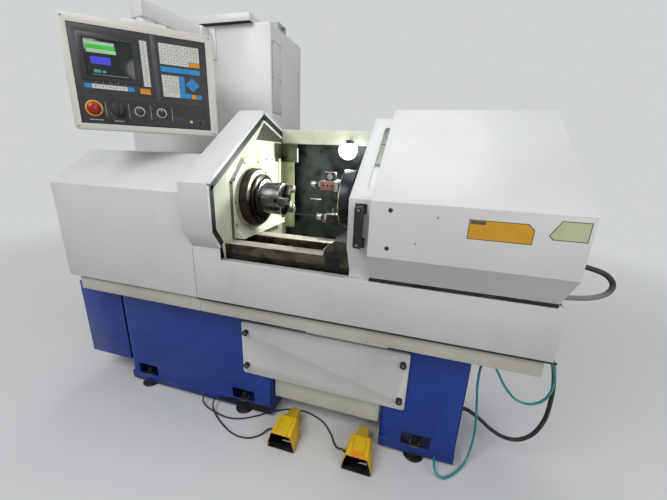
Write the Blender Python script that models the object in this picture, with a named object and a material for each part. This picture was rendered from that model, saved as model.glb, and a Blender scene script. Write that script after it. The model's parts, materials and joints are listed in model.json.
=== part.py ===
# CNC turning lathe with a sliding door, swivelling control pendant and rear cabinet.
# Metres, +Z up, +X to the right as the operator sees it, and the front faces -Y.
# The origin is on the floor, under the middle of the machine.

import math

import bmesh
import bpy
from mathutils import Vector

for item in list(bpy.data.objects):
    bpy.data.objects.remove(item)

# Overall places
overall_length = 2.818
overall_depth = 1.400
left_end = -overall_length / 2
right_end = overall_length / 2
front_end = -overall_depth / 2
back_end = overall_depth / 2
fitting_length = 0.016
skin_right = right_end - fitting_length

# Stock and fits
sheet = 0.003
seam = 0.0003
running_gap = 0.0008
bite = 0.002
overrun = 0.020
round_sides = 32
small_sides = 16

# Coolant tray and the two front skins
skin_setback = 0.090
skin_front = front_end + skin_setback
tray_bottom = 0.710
skin_rise = 0.090
skin_bottom = tray_bottom + skin_rise
apron_height = 0.228
apron_top = skin_bottom + apron_height
apron_flange = 0.045
body_depth = 0.769
body_back = skin_front + body_depth
tray_setback = 0.020
tray_front = skin_front + tray_setback
tray_left_inset = 0.277
tray_left = left_end + tray_left_inset
tray_right_inset = 0.020
tray_right = skin_right - tray_right_inset
tray_wall = 0.006
tray_floor = tray_bottom + tray_wall
lip_height = 0.075
ledge_depth = 0.012
ledge_top = skin_bottom - seam
belt_slot_width = 0.100
belt_slot_depth = 0.300

# Left and right base boxes
plinth_setback = 0.215
plinth_front = front_end + plinth_setback
plinth_depth = 0.585
plinth_back = plinth_front + plinth_depth
plinth_bottom = 0.020
plinth_top = tray_bottom - seam
plinth_wall = 0.006
plinth_corner = 0.022
sole_height = 0.055
sole_proud = 0.008
left_plinth_inset = 0.436
left_plinth_left = left_end + left_plinth_inset
left_plinth_width = 1.061
left_plinth_right = left_plinth_left + left_plinth_width
drawer_bay = 0.648
right_plinth_left = left_plinth_right + drawer_bay
right_plinth_width = 0.401
right_plinth_right = right_plinth_left + right_plinth_width
slot_width = 0.152
slot_height = 0.070
slot_inset = 0.060
pad_radius = 0.056
pad_height = 0.014
pad_bolt_radius = 0.013
pad_bolt_height = 0.118
pad_setback = 0.014
pad_side_inset = 0.195
pad_rear_inset = 0.090
runner_depth = 0.030
runner_height = 0.020
runner_length = 0.460
motor_hole_radius = 0.055
service_margin = 0.050
service_margin_low = 0.110

# Motor guard box
guard_box_left_inset = 0.097
guard_box_left = left_end + guard_box_left_inset
guard_box_drop = 0.020
guard_box_top = tray_bottom - guard_box_drop
guard_box_height = 0.530
guard_box_bottom = guard_box_top - guard_box_height
guard_box_depth = 0.500

# Spindle line
spindle_setback = 0.340
spindle_y = skin_front + spindle_setback
bed_rise = 0.079
bed_top = apron_top + bed_rise
centre_height = 0.201
spindle_height = bed_top + centre_height
spindle_radius = 0.050
front_journal_radius = 0.055
rear_journal_radius = 0.040
pulley_seat_radius = 0.030
nose_flange_radius = 0.128
nose_flange_thickness = 0.024
nose_step_radius = 0.104
nose_step_thickness = 0.014
rear_journal_length = 0.110
pulley_seat_length = 0.150

# Guard cowl over the spindle end
cowl_left_inset = 1.139
cowl_left = left_end + cowl_left_inset
cowl_width = 0.160
cowl_right = cowl_left + cowl_width
cowl_proud = 0.060
cowl_front = skin_front - cowl_proud
cowl_foot_rise = 0.061
cowl_foot = apron_top + cowl_foot_rise
cowl_face_rise = 0.088
cowl_face_bottom = cowl_foot + cowl_face_rise
cowl_face_height = 0.232
cowl_face_top = cowl_face_bottom + cowl_face_height
apex_setback = 0.487
apex_y = skin_front + apex_setback
cowl_slope_height = 0.372
cowl_apex = cowl_face_top + cowl_slope_height
cowl_back_drop = 0.093
cowl_back_height = cowl_apex - cowl_back_drop
seal_inset = sheet + seam
seal_depth = 0.020
wall_inset = 0.031
seal_width = wall_inset - seal_inset - seam
wall_thickness = 0.008
wall_right = cowl_right - bite
bolted_plate_thickness = 0.005
bolted_plate_margin = 0.090
bolted_plate_cut = 0.130
deflector_rise = 0.058
deflector_top = bed_top + deflector_rise
deflector_reach = 0.058
deflector_clear = 0.004

# Headstock cover
headstock_cover_left_inset = 0.227
headstock_cover_left = left_end + headstock_cover_left_inset
headstock_cover_fold_rise = 0.042
headstock_cover_fold = spindle_height + headstock_cover_fold_rise
headstock_cover_slope_height = 0.180
headstock_cover_top = headstock_cover_fold + headstock_cover_slope_height
headstock_cover_slope_depth = 0.260

# Bed and headstock casting
bed_left_inset = 0.380
bed_left = left_end + bed_left_inset
bed_right_inset = 0.200
bed_right = skin_right - bed_right_inset
bed_setback = 0.050
bed_front = skin_front + bed_setback
bed_width = 0.300
bed_back = bed_front + bed_width
front_way_width = 0.077
rear_way_width = 0.090
way_thickness = 0.050
bed_wall = 0.045
bed_wall_inset = 0.010
bed_floor = 0.040
bed_end_thickness = 0.030
bed_rib_height = 0.120
bed_rib_count = 3
headstock_left_inset = 0.451
headstock_left = left_end + headstock_left_inset
headstock_gap = 0.0015
headstock_right = wall_right - wall_thickness - headstock_gap
headstock_front_reach = 0.250
headstock_back_reach = 0.175
headstock_rise = 0.112
headstock_chamfer = 0.080
headstock_bore = 0.082
boss_radius = 0.158
boss_proud = 0.045
boss_right = cowl_right + boss_proud
bearing_width = 0.040
bearing_setback = 0.030

# Drive
pulley_width = 0.070
pulley_left_inset = 0.316
pulley_left = left_end + pulley_left_inset
spindle_pulley_radius = 0.105
motor_pulley_radius = 0.070
motor_height = 0.400
motor_shaft_radius = 0.019
motor_shaft_reach = 0.060
motor_half = 0.130
motor_length = 0.330
motor_wall_gap = 0.045
motor_foot_inset = 0.060
motor_bevel = 0.020
belt_thickness = 0.008
belt_width = 0.055
belt_gap = 0.0006

# Chuck
chuck_radius = 0.087
chuck_length = 0.110
jaw_width = 0.030
jaw_slot_depth = 0.012
jaw_inner = 0.024
jaw_outer = 0.082
jaw_proud = 0.045
jaw_step = 0.018
jaw_step_reach = 0.022
jaw_count = 3
jaw_first_angle = math.radians(30)

# Fixed right cover
cover_length = 0.730
cover_right_inset = 0.030
cover_right = skin_right - cover_right_inset
cover_left = cover_right - cover_length
cover_face_rise = 0.147
cover_face_bottom = apron_top + cover_face_rise
cover_face_height = 0.220
cover_face_top = cover_face_bottom + cover_face_height
cover_slope_height = 0.390
cover_apex = cover_face_top + cover_slope_height
cover_back_drop = 0.063
cover_back_height = cover_apex - cover_back_drop
cover_skirt = 0.060
cover_foot_setback = 0.100
cover_foot_height = 0.017
rail_drop = 0.022
rail_top = cover_back_height - rail_drop
rail_height = 0.085
rail_bottom = rail_top - rail_height
rail_depth = 0.044

# Sliding door
door_lead = 0.095
door_left = cover_left - door_lead
door_length = 0.790
door_right = door_left + door_length
door_setback = 0.050
door_front = front_end + door_setback
door_foot_setback = 0.036
door_foot_y = skin_front + door_foot_setback
door_foot_height = 0.037
door_face_rise = 0.159
door_face_bottom = apron_top + door_face_rise
door_face_height = 0.203
door_face_top = door_face_bottom + door_face_height
door_apex_setback = 0.011
door_apex_y = apex_y + door_apex_setback
door_apex_drop = 0.040
door_apex = cover_apex - door_apex_drop
door_back_inset = 0.029
door_back_y = body_back - door_back_inset
window_side_margin = 0.062
window_low_margin = 0.060
window_high_margin = 0.092
window_corner = 0.018
window_lap = 0.012
window_thickness = 0.005
handle_width = 0.036
handle_thickness = 0.024
handle_standoff = 0.0485
handle_length = 0.170
handle_leg = 0.030
handle_inset = 0.051
handle_rise = 0.0955
handle_height = door_face_bottom + handle_rise
handle_bevel = 0.007

# Carriage and turret
saddle_reach = 0.577
saddle_left = cowl_right + saddle_reach
saddle_length = 0.355
saddle_right = saddle_left + saddle_length
saddle_overhang = 0.025
saddle_rise = 0.083
saddle_top = bed_top + saddle_rise
saddle_back_reach = 0.240
saddle_wing_reach = 0.049
saddle_wing_width = 0.155
saddle_wing_rise = 0.033
saddle_wing_top = bed_top + saddle_wing_rise
nut_width = 0.060
nut_left_inset = 0.130
nut_drop = 0.162
nut_bottom = bed_top - nut_drop
z_screw_radius = 0.016
z_screw_drop = 0.122
z_screw_height = bed_top - z_screw_drop
z_screw_y = bed_front + bed_width / 2
z_motor_half = 0.055
z_motor_length = 0.130
screw_end_reach = 0.030
x_screw_radius = 0.010
x_screw_drop = 0.030
x_screw_height = saddle_top - x_screw_drop
x_screw_inset = 0.155
x_screw_x = saddle_left + x_screw_inset
trough_width = 0.060
trough_depth = 0.058
trough_floor = saddle_top - trough_depth
trough_end_wall = 0.010
x_nut_width = 0.040
x_motor_half = 0.028
x_motor_length = 0.110
slide_inset = 0.015
slide_length = 0.320
slide_thickness = 0.045
slide_front_reach = 0.260
slide_back_reach = 0.150
turret_setback = 0.170
turret_y = spindle_y + turret_setback
turret_disc_lead = 0.084
turret_disc_left = saddle_left - turret_disc_lead
turret_disc_thickness = 0.074
turret_disc_radius = 0.170
turret_disc_rim = 0.008
turret_shaft_radius = 0.035
turret_shaft_length = 0.050
turret_body_gap = 0.0103
turret_body_length = 0.230
turret_body_half = 0.100
turret_body_bevel = 0.012
station_count = 8
station_radius = 0.128
station_bore = 0.016
station_bore_depth = 0.020
tool_block_side = 0.050
tool_block_length = 0.075
boring_block_length = 0.110
bar_radius = 0.012
bar_length = 0.070
boring_angle = math.radians(139)
lower_tool_angle = math.radians(229)
bottom_tool_angle = math.radians(274)

# Access panel and chip drawer
panel_lap_left = 0.166
panel_lap_right = 0.118
panel_left = left_plinth_right - panel_lap_left
panel_right = right_plinth_left + panel_lap_right
panel_drop = 0.070
panel_top = tray_bottom - panel_drop
panel_height = 0.335
panel_bottom = panel_top - panel_height
panel_depth = 0.018
panel_corner = 0.014
panel_knob_radius = 0.016
panel_knob_depth = 0.018
panel_knob_inset = 0.030
drawer_setback = 0.030
drawer_front = plinth_front + drawer_setback
drawer_bottom = 0.136
drawer_height = 0.156
drawer_top = drawer_bottom + drawer_height
drawer_depth = 0.470
drawer_wall = 0.004
drawer_front_gap = 0.010
drawer_flange = 0.026
drawer_side_gap = 0.008

# Electrical cabinet
cabinet_width = 1.196
cabinet_right = left_end + cabinet_width
cabinet_gap = 0.021
cabinet_front = max(body_back, plinth_back) + cabinet_gap
pendant_rise = 0.346
pendant_height = headstock_cover_top + pendant_rise
arm_rise = 0.346
arm_bottom = pendant_height + arm_rise
cabinet_arm_rise = 0.108
cabinet_top = arm_bottom + cabinet_arm_rise
cabinet_base = 0.100
cabinet_base_inset = 0.020
cabinet_door_width = 0.590
cabinet_door_thickness = 0.022
cabinet_door_margin = 0.012
cabinet_frame = 0.030
cabinet_skin_back = back_end - cabinet_door_thickness - seam
duct_width = 0.300
duct_height = 0.160
duct_bottom = 0.300
duct_inset = 0.020
lid_width = 0.560
lid_depth = 0.300
lid_right_inset = 0.121
lid_overhang = 0.041
lid_height = 0.045

# Control pendant, placed from the middle of its front face
pendant_left_inset = 0.826
pendant_x = left_end + pendant_left_inset
pendant_front_inset = 0.242
pendant_y = front_end + pendant_front_inset
pendant_yaw = math.radians(38.8)
pendant_lean = math.radians(3.1)
pendant_width = 0.650
pendant_tall = 0.495
bezel_depth = 0.040
bezel_corner = 0.006
housing_width = 0.540
housing_low = -0.205
housing_high = 0.215
housing_depth = 0.330
recess_left = -0.296
recess_right = 0.288
recess_low = -0.220
recess_high = 0.211
recess_depth = 0.013
panel_plate = 0.010
screen_left = -0.245
screen_right = -0.045
screen_low = -0.012
screen_high = 0.156
screen_thickness = 0.003
control_row = -0.150
stem_radius = 0.006
stem_length = 0.006
mushroom_radius = 0.026
mushroom_height = 0.022
mushroom_lift = 0.008
mushroom_x = -0.237
mode_x = -0.138
mode_radius = 0.030
mode_height = 0.024
feed_x = -0.045
speed_x = 0.054
dial_radius = 0.0165
dial_height = 0.020
key_x = 0.242
key_y = -0.184
key_radius = 0.011
key_bow_height = 0.026
knob_lift = 0.001

# Swivel and arm of the pendant
swivel_back = 0.280
swivel_radius = 0.045
swivel_pin_radius = 0.018
swivel_pin_length = 0.030
swivel_plate_width = 0.200
swivel_plate_depth = 0.240
swivel_plate_height = 0.020
arm_width = 0.095
arm_height = 0.083
arm_wall = 0.004
arm_turn = math.radians(9)
arm_tip_reach = 0.048
arm_flange_width = 0.170
arm_flange_height = 0.190
arm_flange_thickness = 0.010
arm_flange_drop = 0.005

# Work lamp
lamp_left_inset = 0.466
lamp_x = cowl_right + lamp_left_inset
lamp_back_inset = 0.119
lamp_y = body_back - lamp_back_inset
lamp_drop = 0.030
lamp_height = rail_bottom - lamp_drop
lamp_radius = 0.046
lamp_length = 0.060
lamp_bracket_width = 0.028

# Foot switches
pedal_left_inset = 0.145
pedal_left_x = left_plinth_right + pedal_left_inset
pedal_spacing = 0.420
pedal_front_inset = 0.025
pedal_front = front_end + pedal_front_inset
pedal_length = 0.225
pedal_width = 0.156
pedal_height = 0.122
pedal_mouth_height = 0.100
pedal_neck_width = 0.070
pedal_neck_height = 0.080
pedal_wall = 0.004
pedal_floor = 0.008
pedal_roof_share = 0.72
pedal_side_share = 0.25
pedal_shoulder_share = 0.50
pedal_shoulder_width_share = 0.92
pedal_neck_start_share = 0.66
pedal_neck_flare = 1.25
pedal_neck_rise = 1.15
pedal_inside_share = 0.64
pedal_inside_flare = 1.35
pedal_gland_share = 0.42
pedal_gland_lift = 1.6
treadle_width = 0.104
treadle_length = 0.105
treadle_thickness = 0.008
treadle_height = 0.036
treadle_tilt = math.radians(9)
treadle_setback = 0.022
treadle_pin_radius = 0.005
cable_gland_radius = 0.011
cable_gland_length = 0.012
cable_gland_height = 0.045

# Cords
pedal_cable_radius = 0.0045
tube_radius = 0.006
hose_radius = 0.010
conduit_radius = 0.012
fitting_wall = 0.006
straight_diameters = 1.6
left_cable_inset = 0.386
right_cable_inset = 0.466
tube_end_inset = 0.300
tube_port_setback = 0.140
hose_top_setback = 0.290
hose_port_setback = 0.135
hose_port_height = 0.265
conduit_setback = 0.350
conduit_low_rise = 0.145
conduit_low = skin_bottom + conduit_low_rise
conduit_high_rise = 0.092
conduit_high = apron_top + conduit_high_rise
left_cable_spacing = 2.6
right_cable_spacing = 3.0
tube_spacing = 2.6
hose_spacing = 2.2
conduit_spacing = 2.0


# An outline's two directions and the one it is carried along, for each direction of extrusion
DIRECTIONS = {"X": "YZX", "Y": "XZY", "Z": "XYZ"}
LEFTWARD = (-1, 0, 0)
RIGHTWARD = (1, 0, 0)
FORWARD = (0, -1, 0)


def numbers_of(direction):
    """Which of a point's numbers are the outline's two, and which is the length."""
    return ["XYZ".index(letter) for letter in DIRECTIONS[direction]]


def paint(name, colour, roughness, metallic=0.0):
    """A plain finish in the colour of the part."""
    material = bpy.data.materials.new(name)
    material.use_nodes = True
    shader = material.node_tree.nodes["Principled BSDF"]
    shader.inputs["Base Color"].default_value = (*colour, 1.0)
    shader.inputs["Roughness"].default_value = roughness
    shader.inputs["Metallic"].default_value = metallic
    return material


white = paint("white_paint", (0.78, 0.78, 0.76), 0.35)
cream = paint("cream_paint", (0.70, 0.71, 0.60), 0.40)
blue = paint("blue_paint", (0.02, 0.06, 0.42), 0.40)
green = paint("pale_green_paint", (0.60, 0.70, 0.50), 0.45)
iron = paint("cast_iron", (0.16, 0.16, 0.15), 0.50, 0.7)
steel = paint("ground_steel", (0.52, 0.52, 0.50), 0.30, 1.0)
dark = paint("dark_steel", (0.05, 0.05, 0.05), 0.50, 0.6)
black = paint("black_plastic", (0.02, 0.02, 0.02), 0.40)
rubber = paint("black_rubber", (0.02, 0.02, 0.02), 0.80)
yellow = paint("yellow_paint", (0.80, 0.50, 0.02), 0.45)
red = paint("red_plastic", (0.55, 0.03, 0.02), 0.35)
clear = paint("clear_plastic", (0.60, 0.65, 0.65), 0.10)
teal = paint("teal_tube", (0.10, 0.45, 0.42), 0.30)


def finish_piece(name, bm, material):
    """Turn the built geometry into an object with one material and faces outwards."""
    bmesh.ops.recalc_face_normals(bm, faces=bm.faces)
    mesh = bpy.data.meshes.new(name)
    bm.to_mesh(mesh)
    bm.free()
    piece = bpy.data.objects.new(name, mesh)
    bpy.context.collection.objects.link(piece)
    if material:
        mesh.materials.append(material)
    return piece


def skin_over(bm, loops, closed=False):
    """Join rings of vertices, which may have one vertex each at the ends."""
    pairs = list(zip(loops, loops[1:]))
    if closed:
        pairs.append((loops[-1], loops[0]))
    for near, far in pairs:
        count = max(len(near), len(far))
        for index in range(count):
            after = (index + 1) % count
            corners = [near[index % len(near)], near[after % len(near)]]
            corners += [far[after % len(far)], far[index % len(far)]]
            distinct = list(dict.fromkeys(corners))
            if len(distinct) > 2:
                bm.faces.new(distinct)


def block(name, low, high, material=None, bevel=0, segments=2):
    """A box between two opposite corners."""
    size = [b - a for a, b in zip(low, high)]
    bm = bmesh.new()
    bmesh.ops.create_cube(bm, size=1)
    bmesh.ops.scale(bm, vec=size, verts=bm.verts)
    piece = finish_piece(name, bm, material)
    piece.location = [(a + b) / 2 for a, b in zip(low, high)]
    if bevel:
        round_edges(piece, bevel, segments)
    return piece


def round_edges(piece, radius, segments=2):
    """Rounded edges, as a modifier."""
    modifier = piece.modifiers.new("rounded", "BEVEL")
    modifier.width = radius
    modifier.segments = segments
    modifier.limit_method = "ANGLE"


def round_upright_edges(piece, radius, segments, direction):
    """Round only the edges of a box that run along one direction."""
    bm = bmesh.new()
    bm.from_mesh(piece.data)
    along = numbers_of(direction)[-1]
    edges = [edge for edge in bm.edges
             if abs((edge.verts[0].co - edge.verts[1].co).normalized()[along]) > 0.9]
    bmesh.ops.bevel(bm, geom=edges, offset=radius, segments=segments, affect="EDGES", profile=0.5)
    bm.to_mesh(piece.data)
    bm.free()


def extrusion(name, outline, start, end, direction, material=None):
    """A closed outline carried along X, Y or Z."""
    first, second, along = numbers_of(direction)
    bm = bmesh.new()
    loops = []
    for distance in (0, end - start):
        loop = []
        for a, b in outline:
            place = [0, 0, 0]
            place[first], place[second], place[along] = a, b, distance
            loop.append(bm.verts.new(place))
        loops.append(loop)
        bm.faces.new(loop)
    skin_over(bm, loops)
    piece = finish_piece(name, bm, material)
    piece.location[along] = start
    return piece


def turning(name, profile, centre, direction, sides, material=None, closed=False):
    """A profile of (distance, radius) turned round an axis through the centre."""
    first, second, along = numbers_of(direction)
    bm = bmesh.new()
    loops = []
    for distance, radius in profile:
        loop = []
        for step in range(sides if radius else 1):
            angle = 2 * math.pi * (step + 0.5) / sides
            place = [0, 0, 0]
            place[first] = radius * math.cos(angle)
            place[second] = radius * math.sin(angle)
            place[along] = distance
            loop.append(bm.verts.new(place))
        loops.append(loop)
    skin_over(bm, loops, closed)
    piece = finish_piece(name, bm, material)
    piece.location[first], piece.location[second] = centre
    piece.data.shade_smooth()
    piece.data.set_sharp_from_angle(angle=math.radians(30))
    return piece


def rod(name, radius, start, end, centre, direction, sides=small_sides, material=None):
    """A plain round bar."""
    profile = [(start, 0), (start, radius), (end, radius), (end, 0)]
    return turning(name, profile, centre, direction, sides, material)


def ring(name, inner, outer, start, end, centre, direction, sides=round_sides, material=None):
    """A plain round collar."""
    profile = [(start, inner), (start, outer), (end, outer), (end, inner)]
    return turning(name, profile, centre, direction, sides, material, closed=True)


def combine(target, operation, *tools):
    """Boolean the tools with the target, and keep them as hidden guides."""
    for tool in tools:
        tool.hide_render = True
        tool.display_type = "WIRE"
        modifier = target.modifiers.new(tool.name, "BOOLEAN")
        modifier.operation = operation
        modifier.object = tool
    return target


def cut(target, *tools):
    return combine(target, "DIFFERENCE", *tools)


def unite(target, *tools):
    return combine(target, "UNION", *tools)


def pivot(name, place):
    """An empty on a joint's axis, which carries the moving pieces."""
    empty = bpy.data.objects.new(name, None)
    empty.location = place
    bpy.context.collection.objects.link(empty)
    return empty


def carry(parent, *pieces):
    """Hang pieces on a parent without moving them."""
    bpy.context.view_layer.update()
    for piece in pieces:
        piece.parent = parent
        piece.matrix_parent_inverse = parent.matrix_world.inverted()


def beside(path, distance):
    """An open path moved to its right by the distance, with mitred corners."""
    points = [Vector(point) for point in path]
    headings = [(after - before).normalized() for before, after in zip(points, points[1:])]
    moved = []
    for index, point in enumerate(points):
        arriving = headings[max(index - 1, 0)]
        leaving = headings[min(index, len(headings) - 1)]
        normals = [Vector((heading.y, -heading.x)) for heading in (arriving, leaving)]
        mitre = (normals[0] + normals[1]) / (1 + normals[0].dot(normals[1]))
        moved.append(tuple(point + mitre * distance))
    return moved


def folded(path, thickness=sheet):
    """The closed outline of a folded sheet whose outer face follows the path."""
    return list(path) + beside(path, thickness)[::-1]


def smooth_route(route, spacing):
    """Evenly spaced points on a smooth curve through the route's points."""
    points = [Vector(point) for point in route]
    points = [points[0] * 2 - points[1]] + points + [points[-1] * 2 - points[-2]]
    curve = []
    for before, start, end, after in zip(points, points[1:], points[2:], points[3:]):
        steps = max(1, round((end - start).length / spacing))
        for step in range(steps):
            share = step / steps
            a = (end - before) * 0.5
            b = (after - start) * 0.5
            rest = end - start
            cubic = a + b - rest * 2
            square = rest * 3 - a * 2 - b
            curve.append(start + a * share + square * share ** 2 + cubic * share ** 3)
    curve.append(points[-2])
    return curve


def bent_tube(name, route, radius, spacing_diameters, resolution, material):
    """A round bar or tube bent along its route, with filled ends."""
    curve = bpy.data.curves.new(name, "CURVE")
    curve.dimensions = "3D"
    curve.bevel_depth = radius
    curve.bevel_resolution = resolution
    curve.use_fill_caps = True
    points = smooth_route(route, radius * 2 * spacing_diameters)
    spline = curve.splines.new("POLY")
    spline.points.add(len(points) - 1)
    for place, point in zip(spline.points, points):
        place.co = (*point, 1)
    curve.materials.append(material)
    piece = bpy.data.objects.new(name, curve)
    bpy.context.collection.objects.link(piece)
    return piece


def cord(name, leaves, enters, route, radius, spacing_diameters, material):
    """A cord that goes straight out of one fitting and straight into the other."""
    lead = radius * 2 * straight_diameters
    ends = [(Vector(place), Vector(heading)) for place, heading in (leaves, enters)]
    straights = [(place, place + heading * lead) for place, heading in ends]
    whole = list(straights[0]) + list(route) + list(straights[1])[::-1]
    return bent_tube(name, whole, radius, spacing_diameters, 2, material)


def cowl_path():
    """Outer line of the cowl's section, from its front foot over the top to the back."""
    return [
        (skin_front, cowl_foot),
        (cowl_front, cowl_face_bottom),
        (cowl_front, cowl_face_top),
        (apex_y, cowl_apex),
        (body_back, cowl_back_height),
        (body_back, skin_bottom),
    ]


def headstock_cover_path():
    """Outer line of the headstock cover's section."""
    return [
        (skin_front, skin_bottom),
        (skin_front, headstock_cover_fold),
        (skin_front + headstock_cover_slope_depth, headstock_cover_top),
        (body_back, headstock_cover_top),
        (body_back, skin_bottom),
    ]


def fixed_cover_path():
    """Outer line of the fixed cover's section."""
    foot_y = front_end + cover_foot_setback
    foot = apron_top + seam
    return [
        (foot_y, foot),
        (foot_y, apron_top + cover_foot_height),
        (front_end, cover_face_bottom),
        (front_end, cover_face_top),
        (apex_y, cover_apex),
        (body_back + sheet + seam, cover_back_height),
        (body_back + sheet + seam, cover_back_height - cover_skirt),
    ]


def door_path():
    """Outer line of the sliding door's section."""
    return [
        (door_foot_y, apron_top + seam),
        (door_foot_y, apron_top + door_foot_height),
        (door_front, door_face_bottom),
        (door_front, door_face_top),
        (door_apex_y, door_apex),
        (door_back_y, rail_top + sheet + seam),
    ]


def hood(name, path, left, right, material):
    """A folded sheet hood along X."""
    return extrusion(name, folded(path), left, right, "X", material)


# Base boxes

def levelling_foot(name, x, y):
    """A round pad on the floor with its levelling bolt."""
    bolt_start = pad_height
    profile = [
        (0, 0), (0, pad_radius), (pad_height / 2, pad_radius),
        (bolt_start, pad_bolt_radius * 2), (plinth_bottom + bite, pad_bolt_radius * 2),
        (plinth_bottom + bite, pad_bolt_radius), (pad_bolt_height, pad_bolt_radius),
        (pad_bolt_height, 0),
    ]
    return turning(name, profile, (x, y), "Z", small_sides)


def plinth(name, left, right, slots, feet, opening_left):
    """A hollow base box with a service opening at the back, front slots and levelling feet."""
    box = block(name, (left, plinth_front, plinth_bottom), (right, plinth_back, plinth_top), blue)
    round_upright_edges(box, plinth_corner, 3, "Z")
    sole = block(f"{name}_sole", (left + bite, plinth_front - sole_proud, plinth_bottom),
                 (right - bite, plinth_back - bite, plinth_bottom + sole_height))
    cavity = block(f"{name}_cavity",
                   (left + plinth_wall, plinth_front + plinth_wall, plinth_bottom + plinth_wall),
                   (right - plinth_wall, plinth_back - plinth_wall, plinth_top - plinth_wall))
    service = block(f"{name}_service_opening",
                    (opening_left, plinth_back - overrun, plinth_bottom + service_margin_low),
                    (right - service_margin, plinth_back + overrun, plinth_top - service_margin))
    unite(box, sole)
    cut(box, cavity, service)
    for index, slot_left in enumerate(slots):
        low = (slot_left, plinth_front - overrun, plinth_bottom + sole_height)
        high = (slot_left + slot_width, plinth_front + overrun, low[2] + slot_height)
        cut(box, block(f"{name}_slot_{index}", low, high))
    for index, (x, y) in enumerate(feet):
        unite(box, levelling_foot(f"{name}_foot_{index}", x, y))
    return box


foot_front = plinth_front + pad_setback
foot_back = plinth_back - pad_rear_inset
left_slots = (left_plinth_left + slot_inset, left_plinth_right - slot_inset * 2 - slot_width)
left_feet = [(x, y) for x in (left_slots[0] + slot_width / 2, left_slots[1] + slot_width / 2)
             for y in (foot_front, foot_back)]
right_slot = right_plinth_left + slot_inset * 2
right_feet = [(right_slot + slot_width / 2, y) for y in (foot_front, foot_back)]
duct_left = left_plinth_left + duct_inset
duct_right = duct_left + duct_width
left_plinth = plinth("left_plinth", left_plinth_left, left_plinth_right, left_slots, left_feet,
                     duct_right + service_margin)
right_plinth = plinth("right_plinth", right_plinth_left, right_plinth_right, [right_slot], right_feet,
                      right_plinth_left + service_margin)


def runner(name, wall, side):
    """The ledge on a plinth's inner side that carries the drawer's flange."""
    reach = wall + side * runner_depth
    top = drawer_top - drawer_wall - seam
    low = (min(wall - side * bite, reach), drawer_front + drawer_wall * 2, top - runner_height)
    high = (max(wall - side * bite, reach), drawer_front + runner_length, top)
    return block(name, low, high)


unite(left_plinth, runner("left_runner", left_plinth_right, 1))
unite(right_plinth, runner("right_runner", right_plinth_left, -1))
cut(left_plinth, rod("motor_hole", motor_hole_radius, left_plinth_left - overrun,
                     left_plinth_left + overrun, (spindle_y, motor_height), "X"))


def front_gland(name, x):
    """A cable gland on the front of a plinth's sole."""
    front = plinth_front - sole_proud
    return rod(name, cable_gland_radius, front - cable_gland_length, front + bite,
               (x, cable_gland_height), "Y")


left_cable_x = left_plinth_right - left_cable_inset
right_cable_x = left_plinth_right - right_cable_inset
tube_end_x = right_plinth_left + tube_end_inset
unite(left_plinth, front_gland("left_cable_gland", left_cable_x))
unite(left_plinth, front_gland("right_cable_gland", right_cable_x))
unite(right_plinth, front_gland("tube_gland", tube_end_x))
hose_port_y = plinth_front + hose_port_setback
unite(right_plinth, rod("hose_port", hose_radius + fitting_wall, right_plinth_right - bite,
                        right_plinth_right + fitting_length, (hose_port_y, hose_port_height), "X"))

guard_box_right = left_plinth_left - seam
motor_guard = block("motor_guard", (guard_box_left, plinth_front, guard_box_bottom),
                    (guard_box_right, plinth_front + guard_box_depth, guard_box_top), blue)
cut(motor_guard, block("motor_guard_inside",
                       (guard_box_left + sheet, plinth_front + sheet, guard_box_bottom + sheet),
                       (guard_box_right + overrun, plinth_front + guard_box_depth - sheet,
                        guard_box_top + overrun)))

# Coolant tray

tray_rear = body_back
tray = block("coolant_tray", (tray_left, tray_front + tray_wall, tray_bottom),
             (tray_right, tray_rear, ledge_top), cream)
unite(tray, block("tray_lip", (tray_left, tray_front, tray_bottom),
                  (tray_right, tray_front + tray_wall + bite, tray_bottom + lip_height)))
cut(tray, block("tray_inside", (tray_left + tray_wall, tray_front + tray_wall * 2, tray_floor),
                (tray_right - tray_wall, tray_rear - tray_wall, ledge_top + overrun)))
belt_middle = pulley_left + pulley_width / 2
cut(tray, block("belt_slot",
                (belt_middle - belt_slot_width / 2, spindle_y - belt_slot_depth / 2,
                 tray_bottom - overrun),
                (belt_middle + belt_slot_width / 2, spindle_y + belt_slot_depth / 2,
                 tray_floor + overrun)))
tube_port_y = tray_front + tube_port_setback
hose_top_y = tray_front + hose_top_setback
port_height = tray_bottom + lip_height / 2
for name, y, radius in (("tube_port", tube_port_y, tube_radius), ("hose_top_port", hose_top_y, hose_radius)):
    unite(tray, rod(name, radius + fitting_wall, tray_right - bite, tray_right + fitting_length,
                    (y, port_height), "X"))

# Front apron with its top and bottom flanges, right return and the foot under the cowl

apron_left = cowl_left - bite + seam
apron_back = skin_front + apron_flange
apron = block("front_apron", (apron_left, skin_front, skin_bottom), (skin_right, body_back, apron_top),
              white)
cut(apron,
    block("apron_inside", (apron_left - overrun, skin_front + sheet, skin_bottom + sheet),
          (skin_right - sheet, body_back + overrun, apron_top - sheet)),
    block("apron_top_opening", (apron_left - overrun, apron_back, apron_top - sheet - bite),
          (skin_right - sheet, body_back + overrun, apron_top + overrun)),
    block("apron_bottom_opening", (apron_left - overrun, apron_back, skin_bottom - overrun),
          (skin_right - apron_flange, body_back + overrun, skin_bottom + sheet + bite)))
unite(apron, block("apron_foot", (apron_left, skin_front, apron_top - bite),
                   (cowl_right, skin_front + sheet, cowl_foot - seam)))
conduit_y = skin_front + conduit_setback
unite(apron, rod("conduit_low_port", conduit_radius + fitting_wall, skin_right - bite,
                 skin_right + fitting_length, (conduit_y, conduit_low), "X"))

# Headstock cover: a folded hood with a left end and a bottom flange

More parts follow.
